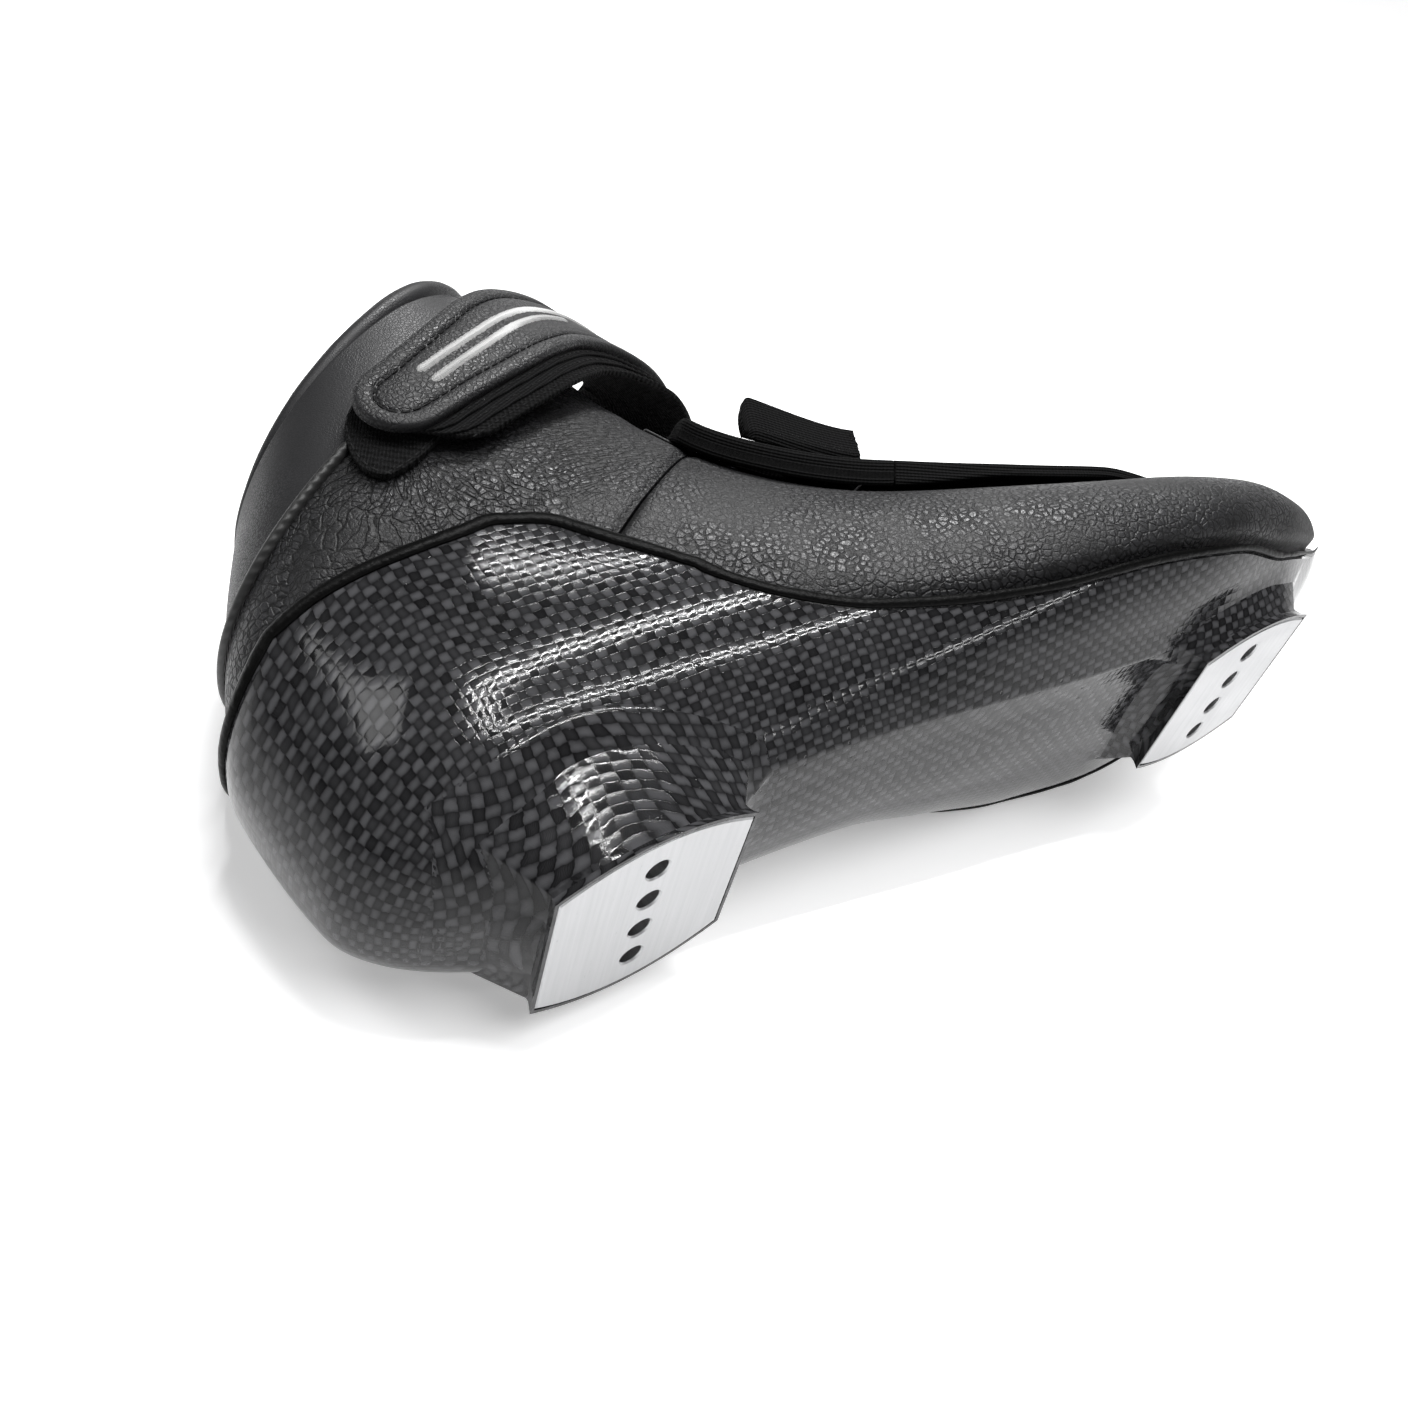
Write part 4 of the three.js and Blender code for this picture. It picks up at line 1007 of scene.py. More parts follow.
# ---------------------------------------------------------------- inside the boot
# A stiff board lies on the laminate, then a soft lining over foam, pads behind the ankle bones and a footbed.
lining = Finish("lining_fabric", (0.016, 0.016, 0.017), 0.85, sheen_weight=0.25, sheen_roughness=0.5)
u, v = lining.along()
threads = (u * 5.2).maths("SINE") * (v * 5.2).maths("SINE")
fuzz = lining.noise(lining.place(), 2.5, 3.0)
weave = threads * 0.35 + fuzz * 0.7
lining.feed("Base Color", lining.tint(weave, (0.008, 0.008, 0.0085), (0.03, 0.03, 0.032)))
lining.relief(threads * 0.5 + fuzz, 0.12)

foam = Finish("footbed_foam", (0.035, 0.035, 0.04), 0.9)
foam.relief(foam.cells(foam.place(), 1.4) + foam.noise(foam.place(), 0.3) * 2, 0.12)


def board_half(t):
    return np.minimum(rim_turn(t) - LEATHER_TUCK - 0.03, 0.22)


u, v = grid(stations(70, 0, 1), stations(30, -1, 1))
t = mix(0.05, 0.74, u)
turn = v * board_half(t)
board = layer("insole_board_sheet", t, turn, -3.0, -5.4, lining)
fix(soften(board, 0.5), "boot", "lining_fabric", "insole_board")

t = mix(0.075, 0.745, u)
turn = v * np.minimum(board_half(t) + 0.04, 0.26)
edge = np.maximum(np.abs(v), np.abs(2 * u - 1) ** 6) ** 4
bed_bottom = -13.3 + 0.9 * edge - 0.5 * (1 - v**2)
bed = layer("footbed_foam", t, turn, -10.1 - 0.5 * edge, bed_bottom, foam)
fix(soften(bed, 0.7), "boot", "footbed_foam", "footbed")

u, v = grid(stations(110, 0, 1), stations(120, -1, 1))
t = np.where(u < 0.4, mix(0.05, 0.6, u / 0.4), mix(0.6, 0.998, (u - 0.4) / 0.6))
turn = v * np.where(t <= THROAT_START + 0.02, 0.985, throat_turn(t) - 0.02)
quilt = 0.25 * np.sin(turn * 60) * np.sin(t * 90)
liner = layer("liner_fabric", t, turn, -7.1, -9.1 + quilt, lining)
fix(soften(liner, 0.5), "boot", "lining_fabric", "liner")

for name, side in (("lateral", 1), ("medial", -1)):
    u, v = grid(stations(24, 0, 1), stations(28, 0, 1))
    t = mix(0.77, 0.925, u)
    turn = side * mix(0.5, 0.74, v)
    crown = (16 * u * (1 - u) * v * (1 - v)) ** 0.35
    pad = layer("ankle_pad_foam_" + name, t, turn, mix(-6.0, -5.2, crown), -6.3 + 0.1 * crown, foam)
    fix(pad, "boot", "footbed_foam", "ankle_pad_" + name)

# ---------------------------------------------------------------- tongue
# A padded leather tongue closes the throat under the lace, quilted in rows so that it bends.
u, v = grid(stations(150, 0, 1), stations(40, -1, 1))
t = mix(0.185, 0.99, u)
turn = 1 + 0.18 * v
pillow = 0.35 * np.abs(np.sin(u * np.pi * 15)) * (1 - v**4) - 0.8 * v**6
tongue = layer("tongue_leather", t, turn, -3.2 + pillow, -5.2 - 0.3 * (1 - v**2), smooth_leather)
fix(soften(tongue, 0.5), "boot", "smooth_leather", "tongue")

# ---------------------------------------------------------------- eyestays, eyelets and lace
# Two strips of leather edge the throat. Six steel eyelets are pressed through each, and one flat black lace
# runs across at every row, pulled tight under the cover.
EYESTAY_WIDTH = 0.05
EYESTAY_TOP = 0.6
EYELETS = [0.3, 0.375, 0.445, 0.51, 0.57, 0.625]
EYELET_PROFILE = [
    (1.3, -0.5), (1.3, 0.7), (1.6, 0.95), (2.2, 1.0), (2.7, 0.8), (2.85, 0.45), (2.8, 0.25), (2.0, 0.2),
    (1.9, -0.5),
]
LACE_HALF = (1.5, 0.55)


def eyelet_turn(t):
    return throat_turn(t) - 0.55 * EYESTAY_WIDTH - 0.004


for name, side in (("lateral", 1), ("medial", -1)):
    u, v = grid(stations(110, 0, 1), stations(14, 0, 1))
    t = mix(0.25, 0.7, u)
    turn = side * (throat_turn(t) - 0.004 - EYESTAY_WIDTH * v)
    stay_top = EYESTAY_TOP + 0.12 * np.sin(np.pi * v)
    stay = layer("eyestay_leather_" + name, t, turn, stay_top, -0.1, smooth_leather)
    fix(soften(stay, 0.25), "boot", "smooth_leather", "eyestay_" + name)

steel = Finish("eyelet_metal", (0.10, 0.10, 0.11), 0.32, metallic=1.0)
steel.relief(steel.noise(steel.place(), 3.0, 2.0), 0.02)
ring = lathe(EYELET_PROFILE, 24)
ring_faces = wrap_faces(*ring.shape[:2])
eyelet_points, eyelet_faces = [], []
for t in EYELETS:
    for side in (1, -1):
        turn = side * eyelet_turn(t)
        axis = form_normal(t, turn)
        first = unit(np.cross(axis, [0.0, 1.0, 0.3]))
        basis = np.array([first, np.cross(axis, first), axis])
        eyelet_faces.append(ring_faces + len(eyelet_points) * ring.size // 3)
        eyelet_points.append(ring.reshape(-1, 3) @ basis + on_form(t, turn, EYESTAY_TOP))
eyelet_points, eyelet_faces = np.vstack(eyelet_points), np.vstack(eyelet_faces)
eyelets = outwards(make_piece("eyelets_steel", eyelet_points, eyelet_faces, steel, sharp=50))
names = [f"eyelet_{hand}_{k}" for hand in ("lateral", "medial") for k in range(1, 7)]
fix(eyelets, "boot", "eyelet_metal", *names)

lace_finish = Finish("lace_cord", (0.012, 0.012, 0.0125), 0.75, sheen_weight=0.2)
u, v = lace_finish.along()
braid = (u * 3.4 + v * 2.4).maths("SINE") * (u * 3.4 - v * 2.4).maths("SINE")
lace_finish.feed("Base Color", lace_finish.tint(braid + 0.4, (0.006, 0.006, 0.006), (0.03, 0.03, 0.031)))
lace_finish.relief(braid, 0.12)


def through(points, per_leg):
    """A smooth curve through given points, with no loops between close ones."""
    p = np.asarray(points, float)
    p = np.vstack([2 * p[0] - p[1], p, 2 * p[-1] - p[-2]])
    step = np.linalg.norm(np.diff(p, axis=0), axis=1) ** 0.5
    curve = []
    s = np.linspace(0, 1, per_leg, endpoint=False)[:, None]
    for k in range(1, len(p) - 2):
        a, b, c = step[k - 1], step[k], step[k + 1]
        m1 = (p[k] - p[k - 1]) / a - (p[k + 1] - p[k - 1]) / (a + b) + (p[k + 1] - p[k]) / b
        m2 = (p[k + 1] - p[k]) / b - (p[k + 2] - p[k]) / (b + c) + (p[k + 2] - p[k + 1]) / c
        m1, m2 = m1 * b, m2 * b
        s2, s3 = s * s, s * s * s
        leaving = (2 * s3 - 3 * s2 + 1) * p[k] + (s3 - 2 * s2 + s) * m1
        curve.append(leaving + (3 * s2 - 2 * s3) * p[k + 1] + (s3 - s2) * m2)
    return np.vstack(curve + [p[-2][None]])


lace_line, lace_up = [], []
for k, t in enumerate(EYELETS):
    side = -1 if k % 2 else 1
    edge = eyelet_turn(t)
    for turn in (edge, mix(edge, 1, 0.4), 1, 2 - mix(edge, 1, 0.4), 2 - edge):
        lace_line.append(on_form(t, side * turn, EYESTAY_TOP + 1.9))
        lace_up.append(form_normal(t, side * turn))
lace_path = through(lace_line, 10)
at = np.linspace(0, 1, len(lace_path))
rows = np.linspace(0, 1, len(lace_up))
lace_up = np.column_stack([np.interp(at, rows, column) for column in np.array(lace_up).T])
lace_path, lace_up = even(lace_path, 1.0, lace_up)
lace = rod("lace_flat", sweep(lace_path, lace_up, *LACE_HALF, 12, 3.0), lace_finish)
fix(lace, "boot", "lace_cord", "lace")

# ---------------------------------------------------------------- lace cover and instep guard
# A long leather flap covers the lace. It is sewn on at the toe and lifts off the instep; the place where it
# would bend is given, but it is left as it lies. A second, short one is sewn over the instep. Both are edged
# with folded black tape, thinnest at the toe.
COVER = {"thickness": 1.6, "top": 5.3, "toe_top": 2.0, "edge_rise": 1.2}
COVER_START = 0.035
COVER_SPLIT = 0.4485
SPLIT_GAP = 0.001
GUARD_END = 0.64
COVER_HALF = np.array([
    [0.03, 3], [0.04, 8], [0.07, 13], [0.12, 18], [0.2, 23], [0.3, 25], [0.45, 25], [0.64, 21.0],
])
UNDER_TAPE = 0.011
TAPE_REACH = 1.6
TAPE_SIDES = 28

tape = Finish("edge_tape", (0.005, 0.005, 0.0052), 0.8, specular_ior_level=0.12)
u, v = tape.along()
ribs = (v * 9).maths("SINE") * 0.6 + (u * 7).maths("SINE") * 0.25 + tape.noise(tape.place(), 3.0, 3.0)
tape.feed("Base Color", tape.tint(ribs * 0.6, (0.002, 0.002, 0.002), (0.011, 0.011, 0.0115)))
tape.relief(ribs, 0.12)


def turn_at(t, half):
    """The turn at which the form's upper half is a given distance from its middle."""
    rows = smooth(FORM, t)
    share = np.minimum(np.abs(half) / np.where(half > 0, rows[4], rows[5]), 0.98)
    return np.where(half < 0, -1, 1) * (1 - np.arcsin(share ** (rows[8] / 2)) / np.pi)


def cover_lift(t, v):
    ramp = ease((t - 0.12) / 0.13)
    return mix(COVER["toe_top"], COVER["top"], ramp) + COVER["edge_rise"] * ramp * (2 * v - 1) ** 2


def cover_place(t, v, beyond=0.0):
    return turn_at(t, (2 * v - 1) * (smooth(COVER_HALF, t)[0] + beyond))


def cover_panel(name, start, end, rows):
    u, v = np.meshgrid(stations(rows, 0, 1), (1 - np.cos(np.pi * stations(41, 0, 1))) / 2, indexing="ij")
    t = mix(start, end + UNDER_TAPE * np.sign(end - start), u)
    turn = cover_place(t, v, 0.9)
    lift = cover_lift(t, v)
    return soften(layer(name, t, turn, lift, lift - COVER["thickness"], smooth_leather), 0.4)


def tape_round(name, start, end):
    """The folded tape round a flap: up one side, across its closed end and down the other."""
    s = stations(70, 0, 1)
    past = end + (-0.012 if end < start else 0.014)
    across = (1 - np.cos(np.pi * stations(25, 0, 1)[1:-1])) / 2
    side = np.ones(len(s))
    t = np.concatenate([mix(start, end, s), np.full(len(across), past), mix(end, start, s)])
    v = np.concatenate([0 * side, across, side])
    beyond = TAPE_REACH * np.concatenate([side, 0 * across, side])
    turn = cover_place(t, v, beyond)
    high = 0.9 + 0.6 * ease((t - 0.1) / 0.2) + 1.4 * ease((t - 0.34) / 0.12)
    top = cover_lift(t, v) + 0.25
    line, line_up, high = even(on_form(t, turn, top - high), 1.1, form_normal(t, turn), high)
    rings = sweep(line, line_up, 1.3, high[:, 0], TAPE_SIDES, 4.0)
    around = np.linspace(0, 2 * np.pi, TAPE_SIDES, endpoint=False) % np.pi
    pinch = 1 - 0.22 * np.exp(-(around**2) / 0.02)
    centre = rings.mean(1, keepdims=True)
    return rod(name, centre + (rings - centre) * pinch[None, :, None], tape, 40)


sewn_end, bent_end = (tuple(laid(on_form(t, 1.0, 2.0))) for t in (0.04, 0.11))
cover_bend = ("boot", "lace_cover_flap", sewn_end, bent_end)
cover = cover_panel("lace_cover_leather", COVER_SPLIT - SPLIT_GAP, COVER_START, 110)
fix(cover, cover_bend, "smooth_leather", "lace_cover")
cover_tape = tape_round("lace_cover_tape", COVER_SPLIT - SPLIT_GAP, COVER_START)
fix(cover_tape, cover_bend, "edge_tape", "cover_edge")
guard = cover_panel("instep_guard_leather", COVER_SPLIT + SPLIT_GAP, GUARD_END, 60)
fix(guard, "boot", "smooth_leather", "instep_guard")
guard_tape = tape_round("instep_guard_tape", COVER_SPLIT + SPLIT_GAP, GUARD_END)
fix(guard_tape, "boot", "edge_tape", "guard_edge")

# ---------------------------------------------------------------- instep tab
# A stiff tab of doubled tape stands up on the guard's outer edge, with a strip of hooks along its foot. Its
# rear corner is round and its front end is cut raw, so that threads stand out of it.
TAB_HEIGHT = 11.0
TAB_THICKNESS = 1.5
TAB_PLACE = 0.93
TAB_LEAN = unit(np.array([0.3, -0.28, 0.9]))
TAB_OUT = unit(np.array([0.0, -0.95, -0.3]))


def tab_point(u, v, depth):
    t = mix(0.462, 0.575, u)
    foot = on_form(t, cover_place(t, TAB_PLACE), cover_lift(t, TAB_PLACE) + 1.2)
    corner = np.clip((u - 0.84) / 0.16, 0, 1)
    arch = mix(0.70, 1.0, ease(u / 0.95)) * np.sqrt(1 - 0.93 * corner**2)
    thin = mix(0.35, 1.0, ease(v / 0.15))
    return foot + TAB_LEAN * (TAB_HEIGHT * arch * v)[..., None] + TAB_OUT * (depth * thin)[..., None]


def tab_sheet(name, inner, outer, top, finish):
    """A layer of the tab up to a share of its height, with its front end cut ragged."""
    u, v = grid(stations(80, 0, 1) ** 0.9, stations(24, 0, top))
    rag = 0.006 * np.interp(v, stations(24, 0, top), rng.uniform(-1, 1, 24))
    u = u + rag * (u < 0.02)
    puff = 0.12 * np.sin(v / top * np.pi) * np.sin(u * np.pi)
    return slab(name, tab_point(u, v, outer + puff), tab_point(u, v, inner), finish)


tab = tab_sheet("instep_tab_tape", 0.0, TAB_THICKNESS, 1.0, tape)
fix(soften(tab, 0.4), "tab", "edge_tape", "instep_tab")

hooks = Finish("hook_and_loop", (0.003, 0.003, 0.0033), 0.85, specular_ior_level=0.12)
u, v = hooks.along()
tufts = hooks.cells(hooks.place(), 1.3)
weft = (u * 4.2).maths("SINE") * (v * 4.2).maths("SINE")
pile = (1 - tufts) * 0.6 + weft * 0.4
hooks.feed("Base Color", hooks.tint(pile, (0.0015, 0.0015, 0.0015), (0.012, 0.012, 0.0125)))
hooks.relief((1 - tufts) + weft * 0.5, 0.35)
tab_hooks = tab_sheet("instep_tab_hook_strip", -1.1, -0.3, 0.92, hooks)
fix(soften(tab_hooks, 0.3), "tab", "hook_and_loop", "instep_tab_hook")


def growth(name, inputs):
    """A tree that grows things on a mesh, and the sockets that bring in the mesh, its inputs and a finish."""
    tree = bpy.data.node_groups.new(name, "GeometryNodeTree")
    tree.interface.new_socket("Geometry", in_out="OUTPUT", socket_type="NodeSocketGeometry")
    for key, kind in {"Geometry": "Geometry", **inputs, "Finish": "Material"}.items():
        tree.interface.new_socket(key, in_out="INPUT", socket_type="NodeSocket" + kind)
    return tree, tree.nodes.new("NodeGroupInput").outputs


def add_node(tree, kind, inputs, **settings):
    made = tree.nodes.new("GeometryNode" + kind if not kind.startswith(("Function", "Shader")) else kind)
    for key, value in settings.items():
        setattr(made, key, value)
    for key, value in inputs.items():
        if isinstance(value, bpy.types.NodeSocket):
            tree.links.new(value, made.inputs[key])
        else:
            made.inputs[key].default_value = value
    return made


def grow_out(tree, instances, finish):
    """Makes the instances real, puts the finish on them and sends them out of the tree."""
    real = add_node(tree, "RealizeInstances", {"Geometry": instances.outputs["Instances"]})
    coated = add_node(tree, "SetMaterial", {"Geometry": real.outputs[0], "Material": finish})
    tree.links.new(coated.outputs[0], tree.nodes.new("NodeGroupOutput").inputs[0])


def grown(name, base, tree, values):
    """What a tree grows on a base object, as a plain mesh. The base goes."""
    modifier = base.modifiers.new("growth", "NODES")
    modifier.node_group = tree
    for item in tree.interface.items_tree:
        if item.in_out == "INPUT" and item.name in values:
            modifier[item.identifier] = values[item.name]
    mesh = bpy.data.meshes.new_from_object(base.evaluated_get(bpy.context.evaluated_depsgraph_get()))
    mesh.name = name
    bpy.data.objects.remove(base)
    mesh.polygons.foreach_set("use_smooth", [True] * len(mesh.polygons))
    return put_in(name, mesh)


bristle_tree, given = growth(
    "bristles", {"Density": "Float", "Length": "Float", "Radius": "Float", "Seed": "Int"}
)
scattered = add_node(
    bristle_tree,
    "DistributePointsOnFaces",
    {"Mesh": given["Geometry"], "Density": given["Density"], "Seed": given["Seed"]},
)
hair = add_node(
    bristle_tree,
    "MeshCone",
    {"Vertices": 4, "Radius Top": 0.00002, "Radius Bottom": given["Radius"], "Depth": given["Length"]},
)
tilt = add_node(
    bristle_tree,
    "FunctionNodeRandomValue",
    {0: (-0.7, -0.7, 0.0), 1: (0.7, 0.7, 6.3)},
    data_type="FLOAT_VECTOR",
)
leaning = add_node(
    bristle_tree,
    "FunctionNodeRotateRotation",
    {"Rotation": scattered.outputs["Rotation"], "Rotate By": tilt.outputs[0]},
    rotation_space="LOCAL",
)
standing = add_node(
    bristle_tree,
    "InstanceOnPoints",
    {"Points": scattered.outputs["Points"], "Instance": hair.outputs["Mesh"], "Rotation": leaning.outputs[0]},
)
grow_out(bristle_tree, standing, given["Finish"])

thread = Finish("loose_thread", (0.012, 0.012, 0.0125), 0.6)
thread.relief(thread.noise(thread.place(), 6.0), 0.05)


def bristles(name, points, density, length, radius, seed):
    """Fine threads that stand on a sheet of points, so many to a square metre."""
    faces = grid_faces(*points.shape[:2])
    base = make_piece(name + "_base", points.reshape(-1, 3), faces, thread)
    values = {"Density": density, "Length": length / 1000, "Radius": radius / 1000, "Seed": seed}
    return grown(name, base, bristle_tree, {**values, "Finish": thread.material})


u, v = grid(stations(30, 0.04, 0.9), stations(6, 0.14, 0.36))
tab_fuzz = bristles("instep_tab_fuzz", tab_point(u, v, 1.7), 2.2e6, 1.3, 0.045, 3)
fix(tab_fuzz, "tab", "hook_and_loop")
v = stations(10, 0.05, 0.95)
frayed = np.stack([tab_point(0 * v, v, depth) for depth in (0.1, 1.4)])
tab_fray = bristles("instep_tab_fray", frayed, 9e6, 1.8, 0.06, 5)
fix(tab_fray, "tab", "edge_tape")

# ---------------------------------------------------------------- ankle strap
# A leather strap is sewn to the inner side, comes round the front of the ankle and closes on the outer side.
# Its border is turned over and stitched in a groove, with a band of hooks and loops behind it. The places
# where it would bend, where it peels off near the outer corner and where it swings open near the inner one,
# are given, but its pieces are left as they lie.
STRAP_ROUTE = [
    [-7, -39.4, 109], [4, -39.8, 112.5], [15, -40, 116.5], [27, -39.4, 121], [40, -36.8, 127],
    [53, -31.6, 132.5], [66, -24.5, 134.5], [78, -14, 133], [84, 0, 130], [79, 14, 133],
    [67, 26, 134.5], [53, 34.5, 132.5], [38, 39.5, 127], [26, 41.3, 121], [14, 41.6, 116.5],
]
STRAP_LEAN = unit(np.array([-0.36, 0, 0.93]))
STRAP_LEATHER = 1.8
STRAP_HALF = (9.4, 13.5)
TIP_LENGTH = 10.0
BORDER = 4.4
STITCH_DEPTH = 0.28
FREE_END_HANG = 5.3
STRAP_JOIN = 0.53
PEEL = (0.40, 0.34)
SWING = (0.72, 0.66)

route = through(STRAP_ROUTE, 60)
route_run = lengths(route, 0)
STRAP_LENGTH = route_run[-1]


def strap_frame(s):
    """The strap's outer face at a share s of its length: a point, the way along, up and out."""
    def point(share):
        return np.stack([np.interp(share * STRAP_LENGTH, route_run, route[:, k]) for k in range(3)], -1)

    e = 0.006
    low, high = np.clip(s - e, 0, 1), np.clip(s + e, 0, 1)
    along = unit(point(high) - point(low))
    rise = unit(STRAP_LEAN - along * np.sum(along * STRAP_LEAN, -1, keepdims=True))
    return point(s), along, rise, np.cross(along, rise)


def strap_half(s):
    return mix(*STRAP_HALF, ease(s / 0.3))


def strap_point(s, b, depth):
    """A point of the strap: b is the distance above its middle line, depth the distance behind its face."""
    s, b, depth = np.broadcast_arrays(s, b, depth)
    at, _, rise, out = strap_frame(s)
    hang = FREE_END_HANG * (1 - ease(s / 0.36))
    return at + rise * (b - hang)[..., None] - out * depth[..., None]


def inside_edge(s, b, half):
    """The distance from the strap's outline, which is round at its free end."""
    a = np.clip(TIP_LENGTH - s * STRAP_LENGTH, 0, None) / TIP_LENGTH
    c = b / half
    f = np.sqrt(a**2 + c**2) + 1e-6
    slope = np.sqrt((a / TIP_LENGTH) ** 2 + (c / half) ** 2) / f + 1e-6
    return (1 - f) / slope


def strap_relief(s, b):
    """The face's height: rolled edges, a full border, the stitched groove and the panel inside it."""
    d = np.clip(inside_edge(s, b, strap_half(s)), 0, None)
    rolled = -0.9 * (1 - np.sqrt(np.clip(1 - np.clip(1 - d / 1.1, 0, 1) ** 2, 0, 1)))
    border = 0.35 * np.sin(np.pi * np.clip(d / BORDER, 0, 1))
    groove = -0.55 * np.exp(-(((d - BORDER) / 0.5) ** 2))
    panel = 0.3 * ease((d - BORDER) / 3.5)
    return rolled + border + groove + panel


def tip_share(s):
    """How much of its width the strap has near its round end."""
    a = np.clip(1 - s * STRAP_LENGTH / TIP_LENGTH, 0, 1)
    return np.sqrt(np.clip(1 - a**2, 0.0004, 1))


strap_leather = leather("strap_leather", (0.0068, 0.0068, 0.0074), 0.44, pebble=1.2, depth=0.14)


def strap_grid(start, end, rows, columns):
    u = stations(rows, 0, 1)
    s = mix(start, end, u ** 1.5 if start == 0 else u)[:, None]
    x = np.sin(np.pi / 2 * stations(columns, -1, 1))[None, :]
    return np.broadcast_arrays(s, x * strap_half(s) * tip_share(s))


def at_strap(s):
    return tuple(laid(strap_point(s, 0.0, 2.0)))


peel_blend = ("strap", "strap_free_end", at_strap(PEEL[0]), at_strap(PEEL[1]))
swing_blend = ("boot", "strap", at_strap(SWING[0]), at_strap(SWING[1]))
for name, start, end, rows, bend, nodes in (
    ("strap_leather_free", 0.0, STRAP_JOIN, 190, peel_blend, ("strap_end", "strap_band")),
    ("strap_leather_fixed", STRAP_JOIN, 1.0, 130, swing_blend, ("strap_tail",)),
):
    s, b = strap_grid(start, end, rows, 61)
    face = strap_point(s, b, -strap_relief(s, b))
    piece = slab(name, face, strap_point(s, b * 0.985, STRAP_LEATHER), strap_leather, 45)
    fix(piece, bend, "strap_leather", *nodes)

# Behind the leather lie two woven carriers and the loop band, each reaching further down than the one in
# front of it as far as the inner side, with a row of stitches along each step.
BACKING = [
    ("carrier", 1.95, 2.6, 1.8, 0.4, 0.012, 0.97, tape),
    ("lining", 2.65, 3.25, 4.6, -0.3, 0.026, 0.96, tape),
    ("loops", 3.3, 4.5, 7.4, -1.0, 0.04, 0.95, hooks),
]


def below_strap(s, lower):
    """How far a backing layer reaches below the middle line."""
    return -strap_half(s) - mix(lower, -0.8, ease((s - 0.56) / 0.12))


for name, front, back, lower, upper, start, end, finish in BACKING:
    for part, from_, to, bend, nodes in (
        ("free", start, STRAP_JOIN, peel_blend, ("strap_end_hook", "strap_band_backing")),
        ("fixed", STRAP_JOIN, end, swing_blend, ("strap_tail_backing",)),
    ):
        u, x = grid(stations(110, 0, 1), stations(21, -1, 1))
        s = mix(from_, to, u)
        tip = np.sqrt(np.clip(1 - np.clip(1 - (s - start) * STRAP_LENGTH / 12, 0, 1) ** 2, 0.06, 1))
        low, high = below_strap(s, lower), strap_half(s) + upper
        b = mix(low, high, mix(0.55, (x + 1) / 2, tip))
        wave = 0.1 * np.sin(s * 90 + x)
        near, far = strap_point(s, b, front), strap_point(s, b, back + wave)
        piece = slab(f"strap_{name}_{part}", near, far, finish)
        fix(soften(piece, 0.25), bend, "hook_and_loop", *(nodes if name == "loops" else ()))

# Stitches: short lengths of twisted thread, each pulled down at both ends, along a path.
stitch_thread = Finish("stitch_thread", (0.005, 0.005, 0.0053), 0.6, specular_ior_level=0.2)
stitch_thread.relief(stitch_thread.noise(stitch_thread.place(), 5.0), 0.06)
stitch_tree, given = growth("stitches", {"Pitch": "Float", "Stitch": "Float", "Thickness": "Float"})
path = add_node(stitch_tree, "MeshToCurve", {0: given["Geometry"]})
spaced = add_node(
    stitch_tree, "ResampleCurve", {"Curve": path.outputs[0], "Length": given["Pitch"]}, mode="LENGTH"
)
ball = add_node(stitch_tree, "MeshUVSphere", {"Segments": 6, "Rings": 5, "Radius": 0.5})
drawn_out = add_node(
    stitch_tree,
    "ShaderNodeCombineXYZ",
    {0: given["Thickness"], 1: given["Thickness"], 2: given["Stitch"]},
)
run_node = add_node(stitch_tree, "InputTangent", {})
aim = add_node(
    stitch_tree, "FunctionNodeAlignRotationToVector", {"Vector": run_node.outputs[0]}, axis="Z"
)
set_down = add_node(
    stitch_tree,
    "InstanceOnPoints",
    {
        "Points": spaced.outputs[0],
        "Instance": ball.outputs["Mesh"],
        "Rotation": aim.outputs[0],
        "Scale": drawn_out.outputs[0],
    },
)
grow_out(stitch_tree, set_down, given["Finish"])


def stitches(name, line, pitch=2.6, stitch=2.1, thickness=0.5):
    """A row of stitches along a line: how far apart they are, how long and how thick."""
    mesh = bpy.data.meshes.new(name)
    mesh.from_pydata(laid(line).tolist(), [(k, k + 1) for k in range(len(line) - 1)], [])
    base = put_in(name + "_line", mesh)
    values = {"Pitch": pitch / 1000, "Stitch": stitch / 1000, "Thickness": thickness / 1000}
    return grown(name, base, stitch_tree, {**values, "Finish": stitch_thread.material})


def strap_row(side):
    """A line inside the strap's border on its sewn part, along its upper edge or its lower."""
    s = stations(160, STRAP_JOIN + 0.01, 0.99)
    return strap_point(s, (strap_half(s) - BORDER) * side, STITCH_DEPTH)


def strap_loop():
    """A line inside the border of its free part: along the lower edge, round the end and back."""
    angle = np.linspace(-np.pi / 2, np.pi / 2, 60)
    round_s = (TIP_LENGTH - (TIP_LENGTH - BORDER) * np.cos(angle)) / STRAP_LENGTH
    round_b = (strap_half(0.03) - BORDER) * np.sin(angle)
    s = stations(160, 0.0, STRAP_JOIN)
    s = s[s > TIP_LENGTH / STRAP_LENGTH]
    b = strap_half(s) - BORDER
    return strap_point(
        np.concatenate([s[::-1], round_s, s]), np.concatenate([-b[::-1], round_b, b]), STITCH_DEPTH
    )


for row, (lower, depth) in enumerate(((0.7, 1.9), (3.3, 2.6), (6.1, 3.25))):
    s = stations(150, 0.07, STRAP_JOIN)
    row_line = strap_point(s, below_strap(s, lower), depth)
    fix(stitches(f"strap_backing_stitches_{row + 1}", row_line, 2.2, 1.5, 0.4), peel_blend, "hook_and_loop")

fix(stitches("strap_stitches_free", strap_loop()), peel_blend, "strap_leather")
for name, side in (("upper", 1), ("lower", -1)):
    fix(stitches("strap_stitches_" + name, strap_row(side)), swing_blend, "strap_leather")

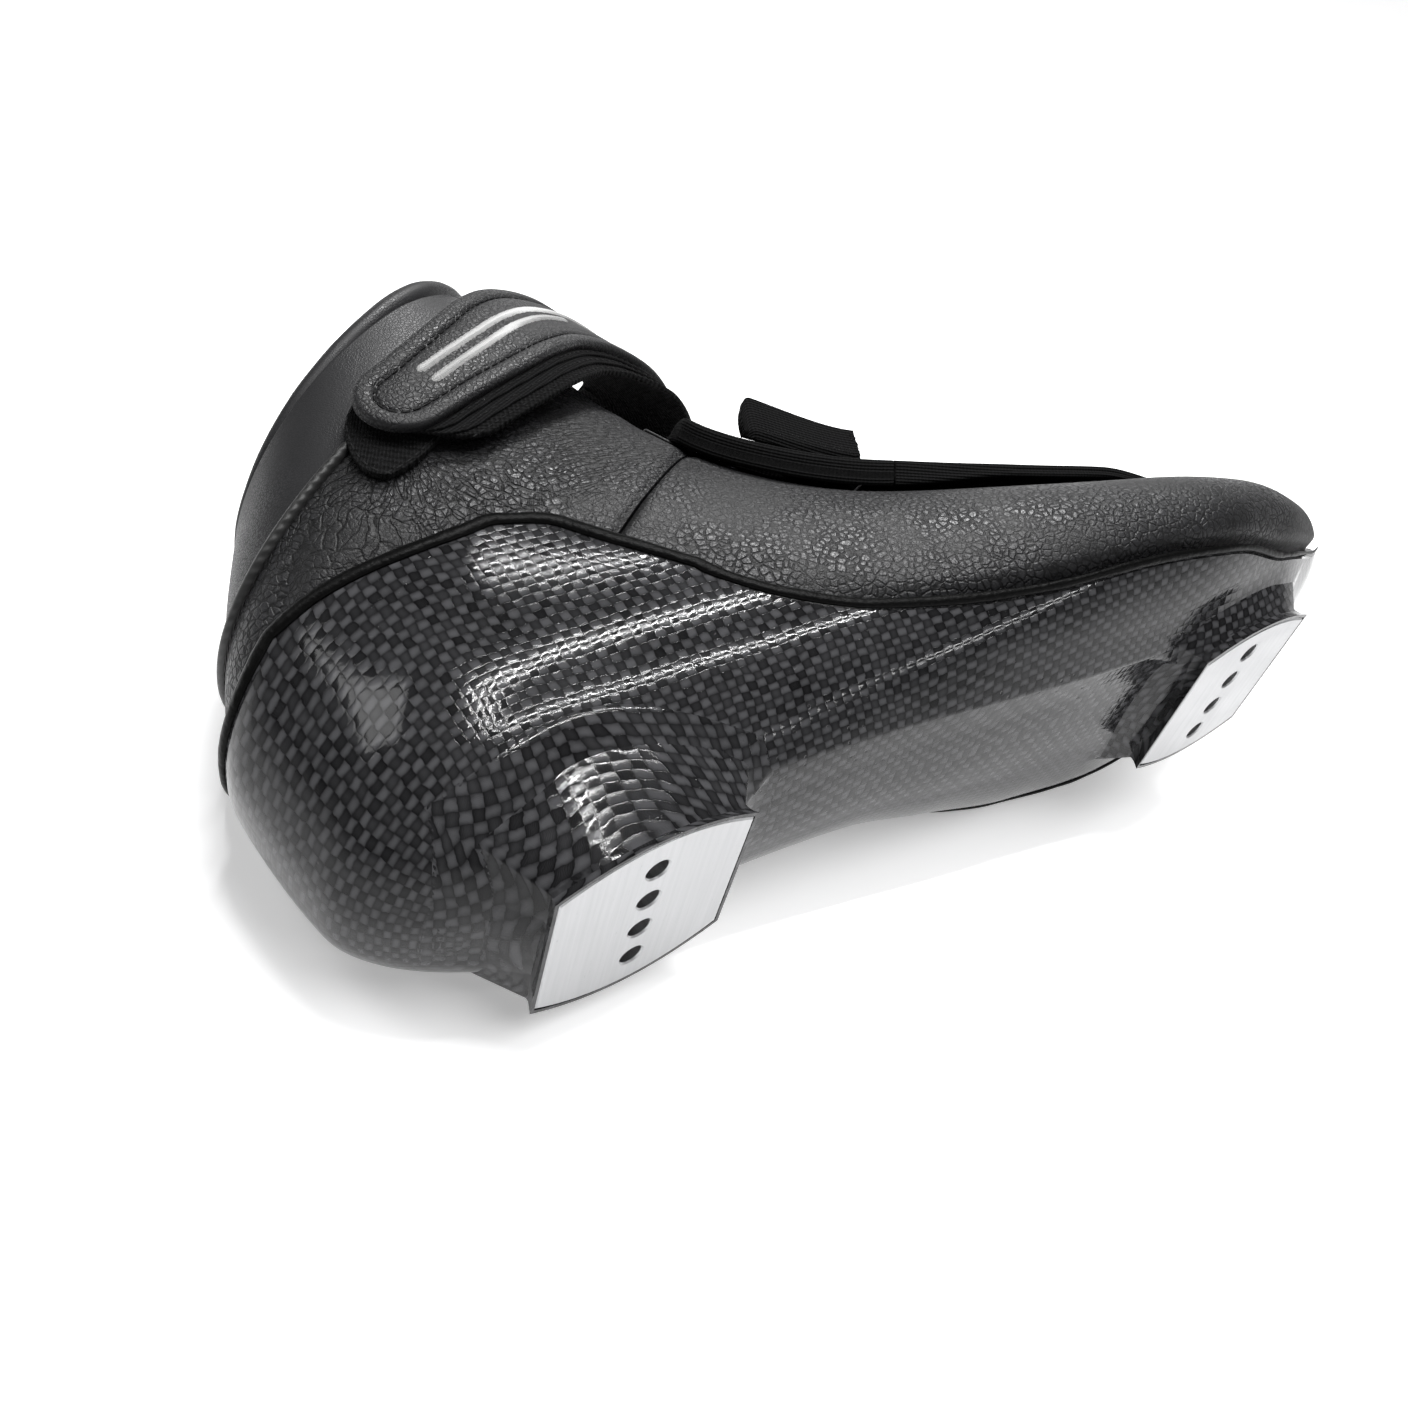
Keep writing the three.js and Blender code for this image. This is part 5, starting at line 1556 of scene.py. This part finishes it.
# Two slim embroidered racing stripes run along the middle of the strap, in raised white satin stitch.
white_thread = Finish("white_thread", (0.75, 0.75, 0.74), 0.55, sheen_weight=0.3)
u, v = white_thread.along()
strands = (u * 16).maths("SINE")
strand_tint = white_thread.tint(strands * 0.3 + 0.6, (0.42, 0.42, 0.42), (0.86, 0.86, 0.85))
white_thread.feed("Base Color", strand_tint)
white_thread.relief(strands + white_thread.noise(white_thread.place(), 3.0) * 0.6, 0.1)
STRIPE_ROWS = 420
for name, start, end, low, high in (("long", 0.085, 0.50, 0.9, 3.1), ("short", 0.085, 0.36, -3.1, -0.9)):
    s, x = grid(stations(STRIPE_ROWS, start, end), stations(7, -1, 1))
    frayed = rng.uniform(-0.16, 0.16, (STRIPE_ROWS, 2))
    ends = np.minimum(s - start, end - s) * STRAP_LENGTH
    slim = np.sqrt(np.clip(ends / 1.2, 0.02, 1))
    middle = (low + high) / 2
    half = (high - low) / 2 * slim
    b = middle + x * half + np.where(x > 0, frayed[:, :1], frayed[:, 1:]) * np.abs(x)
    crown = 0.45 * np.sqrt(np.clip(1 - x**2, 0.0, 1)) * slim
    face = strap_point(s, b, -0.28 - crown)
    stripe = slab("strap_stripe_" + name, face, strap_point(s, b, -0.1), white_thread)
    fix(stripe, peel_blend, "strap_leather")

# ---------------------------------------------------------------- loop patch and strap anchor
# A patch of woven loops is sewn on the quarter and cuff for the strap's hooks, and a second one holds the
# strap's sewn end.
ROUND_OFF = 0.5


def patch(name, t_range, turn_range, top, bottom, slant):
    """A patch with rounded corners, and its upper face's points."""
    u, v = grid(stations(50, -1, 1), stations(60, -1, 1))
    x = u * np.sqrt(1 - ROUND_OFF * v**2 * 0.9)
    y = v * np.sqrt(1 - ROUND_OFF * u**2 * 0.9)
    t = mix(*t_range, (x + 1) / 2)
    low = mix(turn_range[0] + slant, turn_range[0], (x + 1) / 2)
    turn = mix(low, turn_range[1], (y + 1) / 2)
    return layer(name, t, turn, top, bottom, hooks), on_form(t, turn, top)


loop_patch, loop_top = patch("loop_patch_woven", (0.906, 0.966), (0.368, 0.56), 1.5, 0.05, 0.06)
fix(soften(loop_patch, 0.3), "boot", "hook_and_loop", "loop_patch")
loops = bristles("loop_patch_pile", loop_top[2:-2, 2:-2], 5e6, 0.8, 0.05, 11)
fix(loops, "boot", "hook_and_loop")
sides = (loop_top[2:-2, 2], loop_top[-3, 2:-2], loop_top[-2:2:-1, -3], loop_top[2, -3:2:-1])
fix(stitches("loop_patch_stitches", np.concatenate(sides)), "boot", "hook_and_loop")
anchor, _ = patch("strap_anchor_patch", (0.925, 0.965), (-0.6, -0.47), 1.3, 0.05, 0.0)
fix(soften(anchor, 0.3), "boot", "hook_and_loop", "strap_anchor")

# ---------------------------------------------------------------- the grain's light
# A small bright lamp rakes the leather only, so that its grain shows.
grained_pieces = bpy.data.collections.new("grained_pieces")
for piece in bpy.context.scene.objects:
    if "leather" in piece.name or piece.name == "collar_padding":
        grained_pieces.objects.link(piece)
area_light("grain_lamp", (0.42, 0.5, 0.8), (0, 0, 0.05), (0.22, 0.22), 13)
bpy.data.objects["grain_lamp"].light_linking.receiver_collection = grained_pieces
